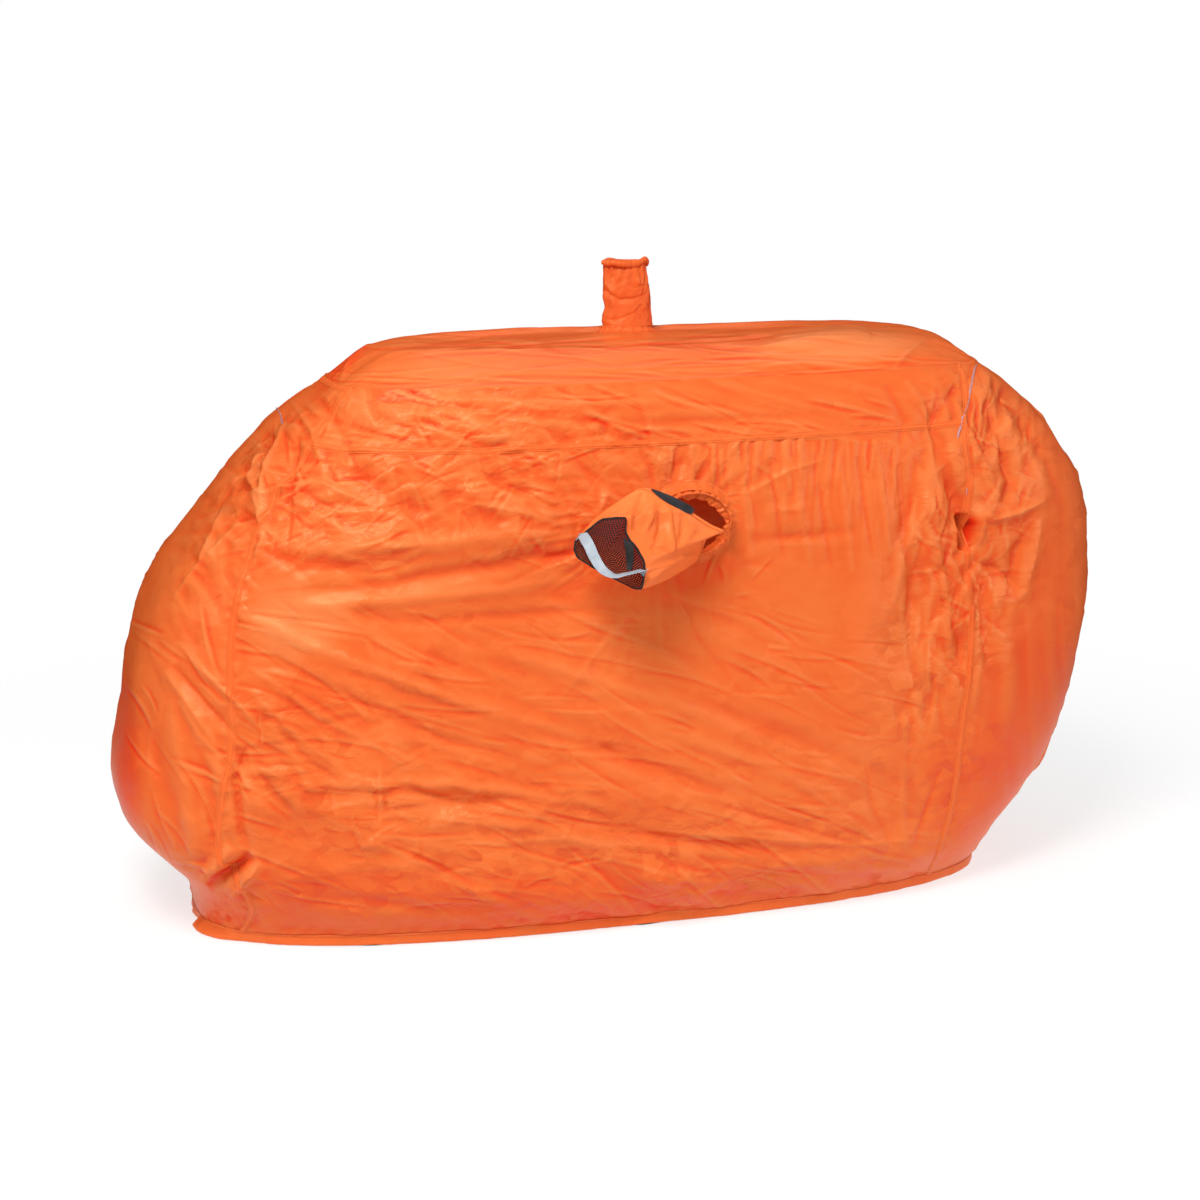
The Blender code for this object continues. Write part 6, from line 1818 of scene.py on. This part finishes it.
for k, (side_name, s, at) in enumerate((("left", -1, 0), ("right", 1, -1))):
    foot_c = on_base((579.5, 537.5) if s < 0 else (644.5, 571.5), 0.0026)
    lead = path[at]
    steps = np.linspace(0, 1, 9)
    start_c = foot_c + b1 * s * 0.0020
    curve = ((1 - steps) ** 2)[:, None] * start_c + (2 * steps * (1 - steps))[:, None] * (foot_c + bn * 0.0022) + (steps ** 2)[:, None] * lead
    w0 = b2 * (1 if np.dot(b2, wide[at]) > 0 else -1)
    w_dir = unit(w0[None] * (1 - steps)[:, None] + wide[at][None] * steps[:, None])
    run_d = unit(np.gradient(curve, axis=0))
    off = unit(np.cross(w_dir, run_d))
    up_t = np.stack([curve + w_dir * (0.0060 * q) + off * 0.0006 for q in np.linspace(-1, 1, 7)], 1)
    dn_t = np.stack([curve + w_dir * (0.0060 * q) - off * 0.0006 for q in np.linspace(1, -1, 7)], 1)
    parts = [sheet_part(np.concatenate([up_t, dn_t, up_t[:, :1]], 1), webbing)]
    bars = []
    for row in (1, 2, 3):
        bars.append(stitch_line(up_t[row], off[row][None] * np.ones((7, 1)), thread_black, pitch=0.0018, half=0.0003, high=0.0004))
        bars.append(stitch_line(dn_t[row][::-1], -off[row][None] * np.ones((7, 1)), thread_black, pitch=0.0018, half=0.0003, high=0.0004))
    cloth_piece(joined("strap_end_" + side_name, parts + bars), ["sack_strap_tab_" + side_name], body="sack", squash=False)

# gathered gusset between the sack's right tip and the vent's rim
tip = body[int(round(COUNT * 24 / 360)), 0]
hold = VENT_C + np.array([0.0530, -0.0150, -0.0120])
rows_g, cols_g = 22, 34
v = np.linspace(0, 1, rows_g)
w = np.linspace(-1, 1, cols_g)
centre_g = tip[None] * (1 - v)[:, None] + hold[None] * v[:, None]
centre_g = centre_g + np.outer(np.sin(np.pi * v) * 0.004, (0.1, -1, -0.1))
spread = 0.0060 + 0.0095 * v
up_dir = unit(np.array([0.20, 0.10, 1.0]))
gus = centre_g[None] + (w[:, None] * spread[None])[..., None] * up_dir
gus_n = normals_of(gus, False)
wrinkle = 0.0013 * np.cos(w * 13)[:, None] * (0.5 + 0.5 * np.cos(v * 3))[None] + 0.0008 * np.cos(w * 23 + 1)[:, None]
gus = gus + gus_n * wrinkle[..., None]
gusset = joined("sack_gusset_cloth", [sheet_part(gus, sack_cloth)])
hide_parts("sack_gusset")
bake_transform(gusset)
print("vents and sack", round(time.perf_counter() - CLOCK, 1))

# ------------------------------------------------------------------ floor and light
floor_mat, tree, out = new_material("floor")
shader = put(tree, "ShaderNodeBsdfPrincipled", Roughness=0.75)
shader.inputs["Base Color"].default_value = (0.34, 0.34, 0.34, 1)
shader.inputs["Specular IOR Level"].default_value = 0.1
shader.inputs["Emission Color"].default_value = (1, 1, 1, 1)
shader.inputs["Emission Strength"].default_value = 0.69
far_off, place = put(tree, "ShaderNodeBsdfTransparent"), put(tree, "ShaderNodeTexCoord")
radius = put(tree, "ShaderNodeVectorMath", operation="LENGTH")
fade, swap = put(tree, "ShaderNodeMapRange"), put(tree, "ShaderNodeMixShader")
fade.inputs["From Min"].default_value, fade.inputs["From Max"].default_value = 0.9, 1.9
tree.links.new(place.outputs["Object"], radius.inputs[0])
tree.links.new(radius.outputs["Value"], fade.inputs["Value"])
tree.links.new(fade.outputs["Result"], swap.inputs["Fac"])
tree.links.new(shader.outputs[0], swap.inputs[1])
tree.links.new(far_off.outputs[0], swap.inputs[2])
tree.links.new(swap.outputs[0], out.inputs["Surface"])
floor = mesh_object("floor", [(-30, -30, 0), (30, -30, 0), (30, 30, 0), (-30, 30, 0)], [(0, 1, 2, 3)], floor_mat, smooth=False)
floor.location.z = -0.0006
floor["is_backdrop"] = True

world = bpy.data.worlds.new("studio")
SCENE.world = world
world.use_nodes = True
tree = world.node_tree
backdrop, room = tree.nodes["Background"], tree.nodes.new("ShaderNodeBackground")
backdrop.inputs[0].default_value, backdrop.inputs[1].default_value = (1, 1, 1, 1), 1.0
room.inputs[0].default_value, room.inputs[1].default_value = (1, 1, 1, 1), 0.30
path, choose = tree.nodes.new("ShaderNodeLightPath"), tree.nodes.new("ShaderNodeMixShader")
around, parts_of, climb = (tree.nodes.new(kind) for kind in ("ShaderNodeTexCoord", "ShaderNodeSeparateXYZ", "ShaderNodeMath"))
tree.links.new(around.outputs["Generated"], parts_of.inputs[0])
climb.operation = "MULTIPLY_ADD"
tree.links.new(parts_of.outputs["Y"], climb.inputs[0])
climb.inputs[1].default_value, climb.inputs[2].default_value = -0.34, 0.25
above = tree.nodes.new("ShaderNodeMath")
above.operation = "MULTIPLY_ADD"
tree.links.new(parts_of.outputs["Z"], above.inputs[0])
above.inputs[1].default_value = 0.12
tree.links.new(climb.outputs[0], above.inputs[2])
above.use_clamp = True
tree.links.new(above.outputs[0], room.inputs[1])
tree.links.new(path.outputs["Is Camera Ray"], choose.inputs[0])
tree.links.new(room.outputs[0], choose.inputs[1])
tree.links.new(backdrop.outputs[0], choose.inputs[2])
tree.links.new(choose.outputs[0], tree.nodes["World Output"].inputs["Surface"])


def softbox(name, at, to, size, power, tint=(1, 1, 1)):
    data = bpy.data.lights.new(name, "AREA")
    data.shape, data.size, data.size_y, data.energy, data.color = "RECTANGLE", size[0], size[1], power, tint
    made = bpy.data.objects.new(name, data)
    made.location = at
    made.rotation_mode = "QUATERNION"
    made.rotation_quaternion = (Vector(to) - Vector(at)).to_track_quat("-Z", "Y")
    SCENE.collection.objects.link(made)
    return made


softbox("key", (-1.5, -2.2, 3.3), (0, 0, 0.4), (1.3, 1.3), 133)
softbox("top", (0.3, 0.4, 4.2), (0, 0, 0), (2.4, 2.0), 20)
softbox("side", (3.0, -2.2, 1.2), (0, 0, 0.4), (0.9, 1.4), 31)
softbox("far_side", (-3.2, -0.7, 1.5), (-0.5, 0, 0.45), (0.9, 1.4), 13)
softbox("behind", (0.7, 2.5, 3.7), (0, 0.2, 0.3), (2.0, 1.6), 9)
SCENE.view_settings.view_transform = "Standard"
SCENE.view_settings.look = "None"

# ------------------------------------------------------------------ the cloth as it was cut
for name, flat, area, held, on in (
        ("front_wall", (1.10, 0.78), 0.737, "draped", ["roof", "hem_fold_front"]),
        ("back_wall", (1.10, 0.80), 0.783, "draped", ["roof", "hem_fold_back"]),
        ("right_end", (0.70, 1.02), 0.635, "draped", ["roof", "hem_fold_right"]),
        ("left_end", (0.52, 0.92), 0.386, "draped", ["roof", "hem_fold_left"]),
        ("roof", (1.02, 0.58), 0.506, "draped", ["front_wall", "back_wall", "left_end", "right_end"]),
        ("hem_fold_front", (1.01, 0.036), None, "folded", ["front_wall"]), ("hem_fold_back", (1.01, 0.036), None, "folded", ["back_wall"]),
        ("hem_fold_right", (0.43, 0.036), None, "folded", ["right_end"]), ("hem_fold_left", (0.285, 0.036), None, "folded", ["left_end"]),
        ("seat_strip_front", (0.875, 0.176), None, "laid", ["hem_fold_front"]), ("seat_strip_back", (0.875, 0.176), None, "laid", ["hem_fold_back"]),
        ("corner_seam_front_left", (0.95, 0.032), None, "folded", ["front_wall", "left_end"]),
        ("corner_seam_front_right", (0.93, 0.032), None, "folded", ["front_wall", "right_end"]),
        ("corner_seam_back_right", (0.93, 0.031), None, "folded", ["back_wall", "right_end"]),
        ("corner_seam_back_left", (0.95, 0.031), None, "folded", ["back_wall", "left_end"]),
        ("eaves_seam_front", (0.95, 0.030), None, "folded", ["front_wall", "roof"]),
        ("eaves_seam_back", (0.97, 0.031), None, "folded", ["back_wall", "roof"]),
        ("roof_end_seam_left", (0.23, 0.026), None, "folded", ["roof", "left_end"]),
        ("roof_end_seam_right", (0.35, 0.031), None, "folded", ["roof", "right_end"]),
        ("roof_vent_sleeve", (0.182, 0.092), None, "gathered", ["roof_vent_foot"]),
        ("roof_vent_foot", (0.205, 0.027), None, "gathered", ["roof"]),
        ("roof_vent_mouth", (0.170, 0.026), None, "gathered", ["roof_vent_sleeve"]),
        ("front_vent_foot", (0.360, 0.040), None, "gathered", ["front_wall"]),
        ("front_vent_rim", (0.300, 0.036), None, "gathered", ["front_vent_foot"]),
        ("stuff_sack", (0.250, 0.126), None, "hung", ["sack_gusset_cloth"]),
        ("stuff_sack_hem", (0.250, 0.0205), None, "folded", ["stuff_sack"]),
        ("stuff_sack_label", (0.060, 0.022), None, "laid", ["stuff_sack_hem"]),
        ("sack_mesh", (0.086, 0.084), 0.0057, "stretched", ["stuff_sack"]),
        ("sack_binding", (0.235, 0.0100), None, "folded", ["stuff_sack"]),
        ("sack_gusset_cloth", (0.045, 0.039), None, "hung", ["front_vent_foot"])):
    along = {"roof": [], "stuff_sack": ["sack_webbing", "strap_end_left", "strap_end_right", "grab_strap"],
             "left_end": ["piping_cord_left"], "right_end": ["piping_cord_right"]}.get(name, [])

low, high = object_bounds()
